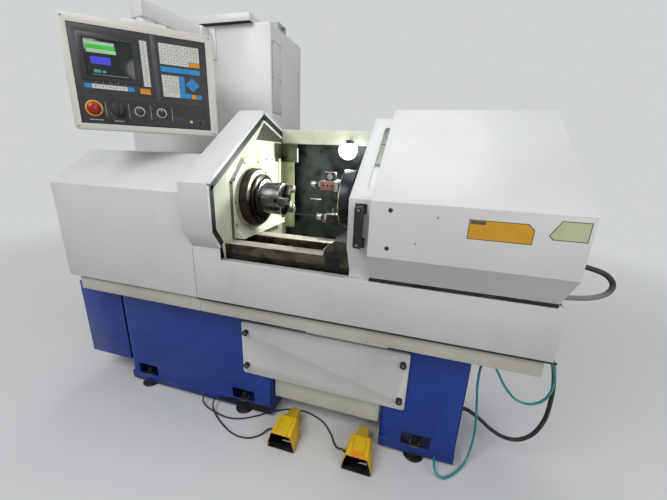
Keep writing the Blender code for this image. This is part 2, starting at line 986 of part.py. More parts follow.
headstock_cover_right = apron_left - seam
headstock_cover = hood("headstock_cover", headstock_cover_path(), headstock_cover_left,
                       headstock_cover_right, white)
unite(headstock_cover,
      extrusion("headstock_cover_end", headstock_cover_path(), headstock_cover_left,
                headstock_cover_left + sheet, "X"),
      block("headstock_cover_flange", (headstock_cover_left, skin_front, skin_bottom),
            (headstock_cover_right, skin_front + apron_flange, skin_bottom + sheet)))

# Guard cowl with its left rim, which closes the step down to the headstock cover

cowl = hood("guard_cowl", cowl_path(), cowl_left, cowl_right, white)
rim = cowl_path()[:-1]
rim += [(y, z + seam) for y, z in headstock_cover_path()[3:0:-1]]
unite(cowl, extrusion("cowl_rim", rim, cowl_left, cowl_left + sheet, "X"))

seal_path = beside(cowl_path(), seal_inset)[:-1]
door_seal = extrusion("door_seal", folded(seal_path, seal_width), cowl_right - seal_depth,
                      cowl_right - bite / 2, "X", rubber)

# End wall between the headstock and the working area

wall_path = beside(cowl_path(), wall_inset)
wall_front = apron_back + seam
wall_back = wall_path[-1][0]
wall_outline = wall_path[:-1] + [
    (wall_back, tray_floor + seam), (wall_front, tray_floor + seam), (wall_front, apron_top + seam),
]
wall_left = wall_right - wall_thickness
end_wall = extrusion("end_wall", wall_outline, wall_left, wall_right, "X", green)
plate_low = deflector_top - bite
plate_front = wall_front + bolted_plate_margin
plate_back = wall_back - bolted_plate_margin
plate_high = spindle_height + nose_flange_radius + bolted_plate_margin
bolted_plate = extrusion("bolted_plate", [
    (plate_front, plate_low), (plate_front, plate_high - bolted_plate_cut),
    (plate_front + bolted_plate_cut, plate_high), (plate_back, plate_high), (plate_back, plate_low),
], wall_right - bite, wall_right + bolted_plate_thickness, "X")
deflector_low = bed_top + deflector_clear
deflector_path = [
    (wall_right - bite, deflector_top + sheet), (wall_right + deflector_reach, deflector_low + sheet),
    (wall_right + deflector_reach, deflector_low), (wall_right - bite, deflector_low),
]
deflector = extrusion("deflector", deflector_path, plate_front, plate_back, "Y")
unite(end_wall, bolted_plate, deflector)
cut(end_wall,
    rod("boss_hole", boss_radius + running_gap * 2, wall_left - overrun, wall_right + overrun,
        (spindle_y, spindle_height), "X", round_sides),
    block("bed_gate", (wall_left - overrun, bed_front - seam, tray_bottom),
          (wall_right + bite, bed_back + seam, bed_top + seam)))

# Rear guard: back sheet and top rail

guard_left = cowl_right + seam
guard_right = cover_right - sheet - seam
rear_guard = block("rear_guard", (guard_left, body_back - sheet, skin_bottom + sheet + seam),
                   (guard_right, body_back, rail_bottom + bite), green)
unite(rear_guard, block("top_rail", (guard_left, body_back - rail_depth, rail_bottom),
                        (guard_right, body_back, rail_top)))

# Fixed cover: hood, right end and left lip

fixed_cover = hood("fixed_cover", fixed_cover_path(), cover_left, cover_right, white)
cover_lip = fixed_cover_path()[1:6] + beside(door_path()[1:], -running_gap * 2)[::-1]
end_outline = fixed_cover_path()[:-1] + [(body_back + sheet + seam, apron_top + seam)]
unite(fixed_cover,
      extrusion("fixed_cover_lip", cover_lip, cover_left, cover_left + sheet, "X"),
      extrusion("fixed_cover_end", end_outline, cover_right - sheet, cover_right, "X"))
unite(fixed_cover, rod("conduit_high_port", conduit_radius + fitting_wall, cover_right - bite,
                       cover_right + fitting_length, (conduit_y, conduit_high), "X"))

# Sliding door with its window and handle

door_axis = pivot("door_runner", ((door_left + door_right) / 2, door_front, apron_top))
sliding_door = hood("sliding_door", door_path(), door_left, door_right, white)
slope_low = Vector((0, door_front, door_face_top))
slope_high = Vector((0, door_apex_y, door_apex))
slope = slope_high - slope_low
slope_angle = math.atan2(slope.z, slope.y)
window_low = slope_low + slope.normalized() * window_low_margin
window_high = slope_high - slope.normalized() * window_high_margin
window_middle = (window_low + window_high) / 2
window_half = (window_high - window_low).length / 2
window_left = door_left + window_side_margin
window_right = door_right - window_side_margin


def sloped_plate(name, lap, low, high, material=None):
    """A plate parallel to the door's slope, from low to high above its outer face."""
    half_length = (window_right - window_left) / 2 + lap
    piece = block(name, (-half_length, -window_half - lap, low), (half_length, window_half + lap, high),
                  material)
    middle = (low + high) / 2
    normal = Vector((0, -math.sin(slope_angle), math.cos(slope_angle)))
    round_upright_edges(piece, window_corner, 3, "Z")
    piece.location = window_middle + normal * middle
    piece.location.x = (window_left + window_right) / 2
    piece.rotation_euler.x = slope_angle
    return piece


cut(sliding_door, sloped_plate("window_hole", 0, -overrun, overrun))
door_window = sloped_plate("door_window", window_lap, -sheet - seam - window_thickness, -sheet - seam,
                           clear)
handle_x = door_left + handle_inset
handle_left = handle_x - handle_width / 2
handle_right = handle_left + handle_width
handle_back = door_front - seam
handle_front = handle_back - handle_standoff
handle_low = handle_height - handle_length / 2
handle_high = handle_low + handle_length
door_handle = block("door_handle", (handle_left, handle_front, handle_low),
                    (handle_right, handle_back, handle_high), black, handle_bevel)
cut(door_handle, block("finger_gap", (handle_left - overrun, handle_front + handle_thickness,
                                      handle_low + handle_leg),
                       (handle_right + overrun, handle_back + overrun, handle_high - handle_leg)))
carry(door_axis, sliding_door, door_window, door_handle)

# Bed with its two ways

bed_low = tray_floor + seam
front_wall = bed_front + bed_wall_inset
back_wall = bed_back - bed_wall_inset
bed_section = [
    (bed_front, bed_top), (bed_front, bed_top - way_thickness), (front_wall, bed_top - way_thickness),
    (front_wall, bed_low), (back_wall, bed_low), (back_wall, bed_top - way_thickness),
    (bed_back, bed_top - way_thickness), (bed_back, bed_top), (bed_back - rear_way_width, bed_top),
    (bed_back - rear_way_width, bed_top - way_thickness),
    (back_wall - bed_wall, bed_top - way_thickness), (back_wall - bed_wall, bed_low + bed_floor),
    (front_wall + bed_wall, bed_low + bed_floor), (front_wall + bed_wall, bed_top - way_thickness),
    (bed_front + front_way_width, bed_top - way_thickness), (bed_front + front_way_width, bed_top),
]
bed = extrusion("bed", bed_section, bed_left, bed_right, "X", iron)
screw_left = cowl_right + bed_end_thickness
for name, left, top in (("bed_left_end", screw_left - bed_end_thickness, bed_top - way_thickness),
                        ("bed_right_end", bed_right - bed_end_thickness, bed_top - way_thickness)):
    plate = block(name, (left, front_wall + bite, bed_low + bite), (left + bed_end_thickness,
                                                                back_wall - bite, top))
    cut(plate, rod(f"{name}_hole", z_screw_radius + running_gap, left - overrun,
                   left + bed_end_thickness + overrun, (z_screw_y, z_screw_height), "X"))
    unite(bed, plate)
rib_spacing = (bed_right - screw_left) / (bed_rib_count + 1)
for index in range(bed_rib_count):
    rib = screw_left + rib_spacing * (index + 1)
    unite(bed, block(f"bed_rib_{index}", (rib, front_wall + bite, bed_low + bite),
                     (rib + bed_floor / 2, back_wall - bite, bed_low + bed_rib_height)))

# Headstock casting with its front boss

head_front = spindle_y - headstock_front_reach
head_back = spindle_y + headstock_back_reach
head_top = spindle_height + headstock_rise
head_low = bed_top + seam
headstock = extrusion("headstock", [
    (head_front, head_low), (head_front, head_top - headstock_chamfer),
    (head_front + headstock_chamfer, head_top), (head_back - headstock_chamfer, head_top),
    (head_back, head_top - headstock_chamfer), (head_back, head_low),
], headstock_left, headstock_right, "X", iron)
unite(headstock, rod("front_boss", boss_radius, headstock_right - overrun, boss_right,
                     (spindle_y, spindle_height), "X", round_sides))
cut(headstock, rod("headstock_bore", headstock_bore, headstock_left - overrun, boss_right + overrun,
                   (spindle_y, spindle_height), "X", round_sides))

# Spindle, bearings, pulleys, belt and motor

spindle_line = (spindle_y, spindle_height)
spindle_axis = pivot("spindle_axis", (boss_right, spindle_y, spindle_height))
nose_left = boss_right + seam
nose_right = nose_left + nose_flange_thickness
step_right = nose_right + nose_step_thickness
rear_shoulder = headstock_left + bearing_setback + bearing_width
rear_end = pulley_left - seam
seat_end = pulley_left + pulley_seat_length
spindle = turning("spindle", [
    (rear_end, 0), (rear_end, pulley_seat_radius), (seat_end, pulley_seat_radius),
    (seat_end, rear_journal_radius), (rear_shoulder, rear_journal_radius),
    (rear_shoulder, spindle_radius),
    (headstock_right - bearing_width - bearing_setback * 2, spindle_radius),
    (headstock_right - bearing_width - bearing_setback * 2, front_journal_radius),
    (nose_left, front_journal_radius), (nose_left, nose_flange_radius),
    (nose_right, nose_flange_radius), (nose_right, nose_step_radius),
    (step_right, nose_step_radius), (step_right, 0),
], spindle_line, "X", round_sides, dark)
bearing_outer = headstock_bore - running_gap / 2
front_bearing = ring("front_bearing", front_journal_radius + running_gap, bearing_outer,
                     headstock_right - bearing_setback - bearing_width,
                     headstock_right - bearing_setback, spindle_line, "X", round_sides, steel)
rear_bearing = ring("rear_bearing", rear_journal_radius + running_gap, bearing_outer,
                    headstock_left + bearing_setback, rear_shoulder - seam,
                    spindle_line, "X", round_sides, steel)
pulley_right = pulley_left + pulley_width
flange = (pulley_width - belt_width) / 2
rim_height = belt_thickness / 2


def pulley_profile(radius):
    """The rim of a belt pulley: a flat between two low flanges."""
    return [
        (pulley_left, radius + rim_height), (pulley_left + flange - belt_gap, radius + rim_height),
        (pulley_left + flange - belt_gap, radius), (pulley_right - flange + belt_gap, radius),
        (pulley_right - flange + belt_gap, radius + rim_height), (pulley_right, radius + rim_height),
    ]


bore = pulley_seat_radius + seam
spindle_pulley = turning("spindle_pulley", [(pulley_left, bore)] + pulley_profile(spindle_pulley_radius)
                         + [(pulley_right, bore)], spindle_line, "X", round_sides, iron, closed=True)
motor_left = left_plinth_left + motor_wall_gap
shaft_end = motor_left + motor_shaft_reach
motor_pulley = turning("motor_pulley", [(pulley_left, 0)] + pulley_profile(motor_pulley_radius) + [
    (pulley_right, motor_shaft_radius), (shaft_end, motor_shaft_radius), (shaft_end, 0),
], (spindle_y, motor_height), "X", round_sides, iron)
spindle_motor = block("spindle_motor", (motor_left, spindle_y - motor_half, motor_height - motor_half),
                      (motor_left + motor_length, spindle_y + motor_half, motor_height + motor_half),
                      dark, motor_bevel)
unite(spindle_motor, block("motor_feet",
                           (motor_left + motor_foot_inset, spindle_y - motor_half + motor_foot_inset / 2,
                            plinth_bottom + plinth_wall + seam),
                           (motor_left + motor_length - motor_foot_inset,
                            spindle_y + motor_half - motor_foot_inset / 2, motor_height)))
cut(spindle_motor, rod("motor_bore", motor_shaft_radius + running_gap, motor_left - overrun,
                       shaft_end + running_gap, (spindle_y, motor_height), "X"))


def belt_outline(extra, steps):
    """The line round both pulleys at a distance from their flats."""
    top = spindle_pulley_radius + extra
    low = motor_pulley_radius + extra
    spread = math.asin((top - low) / (spindle_height - motor_height))
    points = []
    for centre, radius, start, end in (
            (spindle_height, top, -spread, math.pi + spread),
            (motor_height, low, math.pi + spread, 2 * math.pi - spread)):
        turn = (end - start) / steps
        radius /= math.cos(turn / 2)
        for step in range(steps + 1):
            angle = start + turn * step
            points.append((spindle_y + radius * math.cos(angle), centre + radius * math.sin(angle)))
    return points


drive_belt = extrusion("drive_belt", belt_outline(belt_gap + belt_thickness, 14),
                       pulley_left + flange, pulley_right - flange, "X", rubber)
cut(drive_belt, extrusion("belt_inside", belt_outline(belt_gap, 14), pulley_left + flange - overrun,
                          pulley_right - flange + overrun, "X"))

# Chuck with three sliding jaws

chuck_left = step_right + seam
chuck_right = chuck_left + chuck_length
chuck_body = rod("chuck_body", chuck_radius, chuck_left, chuck_right, spindle_line, "X", round_sides,
                 steel)
carry(spindle_axis, spindle, spindle_pulley, chuck_body)


def jaw_angle(index):
    return jaw_first_angle + 2 * math.pi * index / jaw_count


def place_radially(piece, angle):
    """Turn a piece made on +Z round the spindle, and set it on the spindle line."""
    piece.rotation_euler.x = -angle
    piece.location = (0, spindle_y, spindle_height)


for index in range(jaw_count):
    half = jaw_width / 2
    base = chuck_right - jaw_slot_depth
    slot = extrusion(f"jaw_slot_{index}", [
        (base, jaw_inner - overrun / 2), (base, chuck_radius + overrun),
        (chuck_right + overrun, chuck_radius + overrun), (chuck_right + overrun, jaw_inner - overrun / 2),
    ], -half - seam, half + seam, "Y")
    front = chuck_right + jaw_proud
    jaw = extrusion(f"jaw_{index + 1}", [
        (base + seam, jaw_inner), (front - jaw_step, jaw_inner),
        (front - jaw_step, jaw_inner + jaw_step_reach), (front, jaw_inner + jaw_step_reach),
        (front, jaw_outer), (base + seam, jaw_outer),
    ], -half, half, "Y", steel)
    for piece in (slot, jaw):
        for vertex in piece.data.vertices:
            vertex.co.y += piece.location.y
        place_radially(piece, jaw_angle(index))
    cut(chuck_body, slot)
    carry(spindle_axis, jaw)

# Z axis: screw, motor and saddle

screw_right = bed_right + screw_end_reach
z_screw = rod("z_screw", z_screw_radius, screw_left - bed_end_thickness / 2, screw_right,
              (z_screw_y, z_screw_height), "X", small_sides, steel)
z_motor = block("z_motor", (bed_right + seam, z_screw_y - z_motor_half, z_screw_height - z_motor_half),
                (bed_right + z_motor_length, z_screw_y + z_motor_half, z_screw_height + z_motor_half),
                black)
cut(z_motor, rod("z_motor_socket", z_screw_radius + running_gap, bed_right - overrun,
                 screw_right + running_gap, (z_screw_y, z_screw_height), "X"))

carriage = pivot("carriage", ((saddle_left + saddle_right) / 2, z_screw_y, bed_top))
saddle_low = bed_top + seam
saddle_front = bed_front - saddle_overhang
saddle_back = bed_back + saddle_back_reach
saddle = block("saddle", (saddle_left, saddle_front, saddle_low), (saddle_right, saddle_back, saddle_top),
               iron)
nut_left = saddle_left + nut_left_inset
unite(saddle,
      block("saddle_wing", (saddle_left - saddle_wing_reach, saddle_front, saddle_low),
            (saddle_left + bite, saddle_front + saddle_wing_width, saddle_wing_top)),
      block("z_nut", (nut_left, z_screw_y - nut_width / 2, nut_bottom),
            (nut_left + nut_width, z_screw_y + nut_width / 2, saddle_low + bite)))
cut(saddle,
    rod("z_nut_hole", z_screw_radius + running_gap, nut_left - overrun, nut_left + nut_width + overrun,
        (z_screw_y, z_screw_height), "X"),
    block("x_trough", (x_screw_x - trough_width / 2, saddle_front + trough_end_wall, trough_floor),
          (x_screw_x + trough_width / 2, saddle_back - trough_end_wall, saddle_top + overrun)),
    rod("x_screw_hole", x_screw_radius + running_gap, saddle_back - trough_end_wall - overrun,
        saddle_back + overrun, (x_screw_x, x_screw_height), "Y"))
x_screw_end = saddle_back + screw_end_reach
x_screw = rod("x_screw", x_screw_radius, saddle_front + trough_end_wall + seam, x_screw_end,
              (x_screw_x, x_screw_height), "Y", small_sides, steel)
x_motor = block("x_motor", (x_screw_x - x_motor_half, saddle_back + seam, x_screw_height - x_motor_half),
                (x_screw_x + x_motor_half, saddle_back + x_motor_length, x_screw_height + x_motor_half),
                black)
cut(x_motor, rod("x_motor_socket", x_screw_radius + running_gap, saddle_back - overrun,
                 x_screw_end + running_gap, (x_screw_x, x_screw_height), "Y"))

# X axis: cross slide, turret body, disc and tools

cross = pivot("cross_travel", (x_screw_x, turret_y, saddle_top))
slide_left = saddle_left + slide_inset
slide_low = saddle_top + seam
slide_top = slide_low + slide_thickness
slide_front = turret_y - slide_front_reach
slide_back = turret_y + slide_back_reach
cross_slide = block("cross_slide", (slide_left, slide_front, slide_low),
                    (slide_left + slide_length, slide_back, slide_top), iron)
unite(cross_slide, block("x_nut", (x_screw_x - x_nut_width / 2, turret_y - x_nut_width,
                                   trough_floor + seam * 2),
                         (x_screw_x + x_nut_width / 2, turret_y, slide_low + bite)))
cut(cross_slide, rod("x_nut_hole", x_screw_radius + running_gap, turret_y - x_nut_width - overrun,
                     turret_y + overrun, (x_screw_x, x_screw_height), "Y"))
disc_right = turret_disc_left + turret_disc_thickness
body_left = disc_right + turret_body_gap
turret_line = (turret_y, spindle_height)
turret_body = block("turret_body", (body_left, turret_y - turret_body_half, slide_top + seam),
                    (body_left + turret_body_length, turret_y + turret_body_half,
                     spindle_height + turret_body_half), dark, turret_body_bevel)
turret_shaft_end = body_left + turret_shaft_length
cut(turret_body, rod("turret_bore", turret_shaft_radius + running_gap, body_left - overrun,
                     turret_shaft_end + running_gap, turret_line, "X"))
turret_disc = turning("turret_disc", [
    (turret_disc_left, 0), (turret_disc_left, turret_disc_radius - turret_disc_rim),
    (turret_disc_left + turret_disc_rim, turret_disc_radius), (disc_right, turret_disc_radius),
    (disc_right, turret_shaft_radius), (turret_shaft_end, turret_shaft_radius), (turret_shaft_end, 0),
], turret_line, "X", round_sides, dark)


def station(angle):
    """Where a tool station at this angle lies, in Y and Z."""
    return (turret_y + station_radius * math.cos(angle), spindle_height + station_radius * math.sin(angle))


def tool_block(name, angle, length, gap=0):
    """A square holder on the disc's face with a round bar pointing at the chuck."""
    y, z = station(angle)
    half = tool_block_side / 2
    holder = block(name, (turret_disc_left - length, y - half, z - half),
                   (turret_disc_left - gap, y + half, z + half), steel)
    tip = turret_disc_left - length - bar_length
    unite(holder, rod(f"{name}_bar", bar_radius, tip, turret_disc_left - length + bite, (y, z), "X"))
    return holder


for index in range(station_count):
    angle = boring_angle + 2 * math.pi * index / station_count
    if index not in (0, 2, 3):
        cut(turret_disc, rod(f"station_{index}", station_bore, turret_disc_left - overrun,
                             turret_disc_left + station_bore_depth, station(angle), "X", small_sides))
unite(turret_disc, tool_block("lower_tool", lower_tool_angle, tool_block_length, -bite),
      tool_block("bottom_tool", bottom_tool_angle, tool_block_length, -bite))
boring_holder = tool_block("boring_holder", boring_angle, boring_block_length, seam)
carry(turret_disc, boring_holder)
carry(cross, cross_slide, turret_body, turret_disc)
carry(carriage, saddle, x_screw, x_motor, cross)

# Access panel with four knobs, and the chip drawer under it

panel_back = plinth_front - sole_proud - seam
panel_front = panel_back - panel_depth
access_panel = block("access_panel", (panel_left, panel_front, panel_bottom),
                     (panel_right, panel_back, panel_top), white)
round_upright_edges(access_panel, panel_corner, 3, "Y")
cut(access_panel, block("access_panel_inside",
                        (panel_left + panel_corner, panel_front + sheet, panel_bottom + panel_corner),
                        (panel_right - panel_corner, panel_back + overrun, panel_top - panel_corner)))
for index, (x, z) in enumerate([(x, z) for x in (panel_left + panel_knob_inset,
                                                 panel_right - panel_knob_inset)
                                for z in (panel_bottom + panel_knob_inset * 2,
                                          panel_top - panel_knob_inset * 2)]):
    unite(access_panel, rod(f"panel_knob_{index}", panel_knob_radius, panel_front - panel_knob_depth,
                            plinth_front - seam, (x, z), "Y", small_sides))

drawer_left = left_plinth_right + drawer_front_gap
drawer_right = right_plinth_left - drawer_front_gap
drawer_body_left = left_plinth_right + runner_depth + drawer_side_gap
drawer_body_right = right_plinth_left - runner_depth - drawer_side_gap
drawer_back = drawer_front + drawer_depth
chip_drawer = block("chip_drawer", (drawer_body_left, drawer_front, drawer_bottom),
                    (drawer_body_right, drawer_back, drawer_top), cream)
flange_low = drawer_top - drawer_wall
unite(chip_drawer,
      block("drawer_face", (drawer_left, drawer_front, drawer_bottom),
            (drawer_right, drawer_front + drawer_wall, drawer_top)),
      block("drawer_left_flange", (drawer_body_left - drawer_flange, drawer_front + bite, flange_low),
            (drawer_body_left + bite, drawer_back, drawer_top)),
      block("drawer_right_flange", (drawer_body_right - bite, drawer_front + bite, flange_low),
            (drawer_body_right + drawer_flange, drawer_back, drawer_top)))
cut(chip_drawer, block("drawer_inside",
                       (drawer_body_left + drawer_wall, drawer_front + drawer_wall,
                        drawer_bottom + drawer_wall),
                       (drawer_body_right - drawer_wall, drawer_back - drawer_wall,
                        drawer_top + overrun)))

# Electrical cabinet with a rear door

cabinet = block("cabinet", (left_end, cabinet_front, cabinet_base), (cabinet_right, cabinet_skin_back,
                                                                    cabinet_top), white)
base_back = cabinet_skin_back - cabinet_base_inset
cabinet_door_right = cabinet_right - cabinet_door_margin
cabinet_door_left = cabinet_door_right - cabinet_door_width
unite(cabinet,
      block("cabinet_base", (left_end + cabinet_base_inset, cabinet_front + cabinet_base_inset, 0),
            (cabinet_right - cabinet_base_inset, base_back, cabinet_base + bite)),
      block("cable_duct", (duct_left, plinth_back + seam, duct_bottom),
            (duct_right, cabinet_front + bite, duct_bottom + duct_height)))
cut(cabinet,
    block("cabinet_inside", (left_end + sheet, cabinet_front + sheet, cabinet_base + sheet),
          (cabinet_right - sheet, cabinet_skin_back - sheet, cabinet_top - sheet)),
    block("cabinet_doorway",
          (cabinet_door_left + cabinet_frame, cabinet_skin_back - overrun,
           cabinet_base + cabinet_frame),
          (cabinet_door_right - cabinet_frame, cabinet_skin_back + overrun,
           cabinet_top - cabinet_frame)))
cabinet_hinge = pivot("cabinet_hinge", (cabinet_door_right, back_end, cabinet_base))
cabinet_door = block("cabinet_door",
                     (cabinet_door_left, cabinet_skin_back + seam, cabinet_base + cabinet_door_margin),
                     (cabinet_door_right, back_end, cabinet_top - cabinet_door_margin), white)
cut(cabinet_door, block("cabinet_door_inside",
                        (cabinet_door_left + sheet, cabinet_skin_back - overrun,
                         cabinet_base + cabinet_door_margin + sheet),
                        (cabinet_door_right - sheet, back_end - sheet,
                         cabinet_top - cabinet_door_margin - sheet)))
carry(cabinet_hinge, cabinet_door)

lid_right = cabinet_right - lid_right_inset
lid_front = cabinet_front - lid_overhang
lid_low = cabinet_top + seam
cabinet_lid = block("cabinet_lid", (lid_right - lid_width, lid_front, lid_low),
                    (lid_right, lid_front + lid_depth, lid_low + lid_height), white)
cut(cabinet_lid, block("cabinet_lid_inside",
                       (lid_right - lid_width + sheet, lid_front + sheet, lid_low - overrun),
                       (lid_right - sheet, lid_front + lid_depth - sheet,
                        lid_low + lid_height - sheet)))

# Pendant arm, bolted to the cabinet's front

swivel_x = pendant_x - swivel_back * math.sin(pendant_yaw)
swivel_y = pendant_y + swivel_back * math.cos(pendant_yaw)
arm_tip = -arm_tip_reach
arm_root = (cabinet_front - seam - swivel_y) / math.cos(arm_turn)
pendant_arm = block("pendant_arm", (-arm_width / 2, arm_tip, arm_bottom),
                    (arm_width / 2, arm_root - arm_width / 2, arm_bottom + arm_height), white)
inside = block("pendant_arm_inside", (-arm_width / 2 + arm_wall, arm_tip + arm_wall, arm_bottom + arm_wall),
               (arm_width / 2 - arm_wall, arm_root + overrun, arm_bottom + arm_height - arm_wall))
for piece in (pendant_arm, inside):
    for vertex in piece.data.vertices:
        vertex.co += piece.location
    piece.location = (swivel_x, swivel_y, 0)
    piece.rotation_euler.z = -arm_turn
flange_x = swivel_x + math.sin(arm_turn) * arm_root
flange_top = cabinet_top - arm_flange_drop
root_stub = block("arm_root", (flange_x - arm_width / 2, cabinet_front - arm_width, arm_bottom),
                  (flange_x + arm_width / 2, cabinet_front - seam, arm_bottom + arm_height))
arm_flange = block("arm_flange",
                   (flange_x - arm_flange_width / 2, cabinet_front - seam - arm_flange_thickness,
                    flange_top - arm_flange_height),
                   (flange_x + arm_flange_width / 2, cabinet_front - seam, flange_top))
swivel_pin = rod("swivel_pin", swivel_pin_radius, arm_bottom - swivel_pin_length, arm_bottom + bite,
                 (swivel_x, swivel_y), "Z")
unite(pendant_arm, root_stub, arm_flange)
cut(pendant_arm, inside)
unite(pendant_arm, swivel_pin)

# Pendant, in its own frame: X along its width, +Y to its back, Z up its face

pendant_pivot = pivot("pendant_pivot", (swivel_x, swivel_y, arm_bottom))
pendant_face = pivot("pendant_face", (pendant_x, pendant_y, pendant_height))
pendant_face.rotation_euler = (-pendant_lean, 0, pendant_yaw)
carry(pendant_pivot, pendant_face)
half_width = pendant_width / 2
half_tall = pendant_tall / 2
housing = block("pendant_housing", (-half_width, 0, -half_tall), (half_width, bezel_depth, half_tall),
                cream)
round_upright_edges(housing, bezel_corner, 2, "Y")
housing_body = block("housing_body", (-housing_width / 2, bezel_depth - bite, housing_low),
                     (housing_width / 2, bezel_depth + housing_depth, housing_high))
panel_recess = block("panel_recess", (recess_left, -overrun, recess_low),
                     (recess_right, recess_depth, recess_high))
plate_middle = swivel_back
swivel_plate = block("swivel_plate",
                     (-swivel_plate_width / 2, plate_middle - swivel_plate_depth / 2,
                      housing_high - overrun),
                     (swivel_plate_width / 2, plate_middle + swivel_plate_depth / 2,
                      half_tall + swivel_plate_height))
for piece in (housing_body, panel_recess, swivel_plate):
    piece.parent = pendant_face
swivel_hub = rod("swivel_hub", swivel_radius, pendant_height + half_tall, arm_bottom - seam,
                 (swivel_x, swivel_y), "Z", round_sides)
swivel_socket = rod("swivel_socket", swivel_pin_radius + running_gap,
                    arm_bottom - swivel_pin_length - running_gap, arm_bottom + overrun,
                    (swivel_x, swivel_y), "Z")
unite(housing, housing_body, swivel_plate, swivel_hub)
cut(housing, panel_recess, swivel_socket)
panel = block("pendant_panel",
              (recess_left + seam, recess_depth - seam - panel_plate, recess_low + seam),
              (recess_right - seam, recess_depth - seam, recess_high - seam), black)
panel_face = recess_depth - seam - panel_plate
screen_recess = block("screen_recess", (screen_left, panel_face - overrun, screen_low),
                      (screen_right, panel_face + screen_thickness + seam, screen_high))
screen = block("pendant_screen", (screen_left + seam, panel_face, screen_low + seam),
               (screen_right - seam, panel_face + screen_thickness, screen_high - seam), clear)
cut(panel, screen_recess)


def control(name, profile, x, z, material, sides=small_sides):
    """A turned control on the panel, with its stem in a hole through the plate."""
    front = [(panel_face - distance, radius) for distance, radius in profile]
    stem = [(panel_face + stem_length, stem_radius), (panel_face + stem_length, 0)]
    piece = turning(name, front + stem, (x, z), "Y", sides, material)
    hole = rod(f"{name}_hole", stem_radius + running_gap, panel_face - overrun,
               panel_face + panel_plate + seam, (x, z), "Y")
    cut(panel, hole)
    for item in (piece, hole):
        item.parent = pendant_face
    return piece


def knob_profile(radius, height):
    """A round knob just off the panel, with a softened front edge."""
    edge = radius / 6
    return [(height, 0), (height, radius - edge), (height - edge, radius), (knob_lift, radius),
            (knob_lift, stem_radius)]


mushroom_low = mushroom_lift + mushroom_height / 3
mushroom_crown = ((0.92, 0.55), (0.72, 0.85))
mushroom = [(mushroom_lift + mushroom_height, 0)]
mushroom += [(mushroom_lift + mushroom_height * high, mushroom_radius * wide)
             for high, wide in mushroom_crown]
mushroom += [
    (mushroom_low + bite, mushroom_radius), (mushroom_low, mushroom_radius),
    (mushroom_low, mushroom_radius / 2), (mushroom_lift, mushroom_radius / 2),
    (mushroom_lift, stem_radius),
]
control("emergency_stop", mushroom, mushroom_x, control_row, red)
control("mode_knob", knob_profile(mode_radius, mode_height), mode_x, control_row, black)
control("feed_dial", knob_profile(dial_radius, dial_height), feed_x, control_row, black)
control("speed_dial", knob_profile(dial_radius, dial_height), speed_x, control_row, black)
key_switch = control("key_switch", knob_profile(key_radius, key_radius / 2), key_x, key_y, steel)
key_bow = block("key_bow", (-sheet / 2, panel_face - key_bow_height, -key_radius),
                (sheet / 2, panel_face - key_radius / 3, key_radius))
key_bow.location += Vector((key_x, 0, key_y))
key_bow.parent = pendant_face
unite(key_switch, key_bow)
for piece in (housing, panel, screen, screen_recess):
    piece.parent = pendant_face
carry(pendant_pivot, swivel_hub, swivel_socket)

# Work lamp under the top rail

lamp_top = lamp_height + lamp_length / 2
work_lamp = turning("work_lamp", [
    (lamp_top - lamp_length, 0), (lamp_top - lamp_length, lamp_radius),
    (lamp_top - lamp_length / 3, lamp_radius), (lamp_top, lamp_radius / 2), (lamp_top, 0),
], (lamp_x, lamp_y), "Z", 24, black)
bracket_half = lamp_bracket_width / 2
unite(work_lamp, block("lamp_bracket", (lamp_x - bracket_half, lamp_y, rail_bottom + bite),
                       (lamp_x + bracket_half, body_back - rail_depth - seam,
                        rail_bottom + lamp_bracket_width)),
      rod("lamp_stem", bracket_half / 2, lamp_top - bite, rail_bottom + lamp_bracket_width / 2,
          (lamp_x, lamp_y), "Z", 8))

# Foot switches


def pedal_section(half_width, height, inset):
    """One section of the foot guard: wide at the floor and narrower at the roof."""
    wide = half_width - inset
    narrow = half_width * pedal_roof_share - inset
    low = pedal_floor if inset else 0
    side = height * pedal_side_share
    return [(-wide, low), (wide, low), (wide, side), (narrow, height - inset),
            (-narrow, height - inset), (-wide, side)]


def pedal_solid(name, x, sections, inset, material=None):
    """Sections of the foot guard joined along Y, in the guard's own middle."""
    bm = bmesh.new()
    loops = []
    for y, half_width, height in sections:
        outline = pedal_section(half_width, height, inset)
        loops.append([bm.verts.new((a, y, b)) for a, b in outline])
    skin_over(bm, loops)
    bm.faces.new(loops[0])
    bm.faces.new(loops[-1])
    piece = finish_piece(name, bm, material)
    piece.location.x = x
    return piece


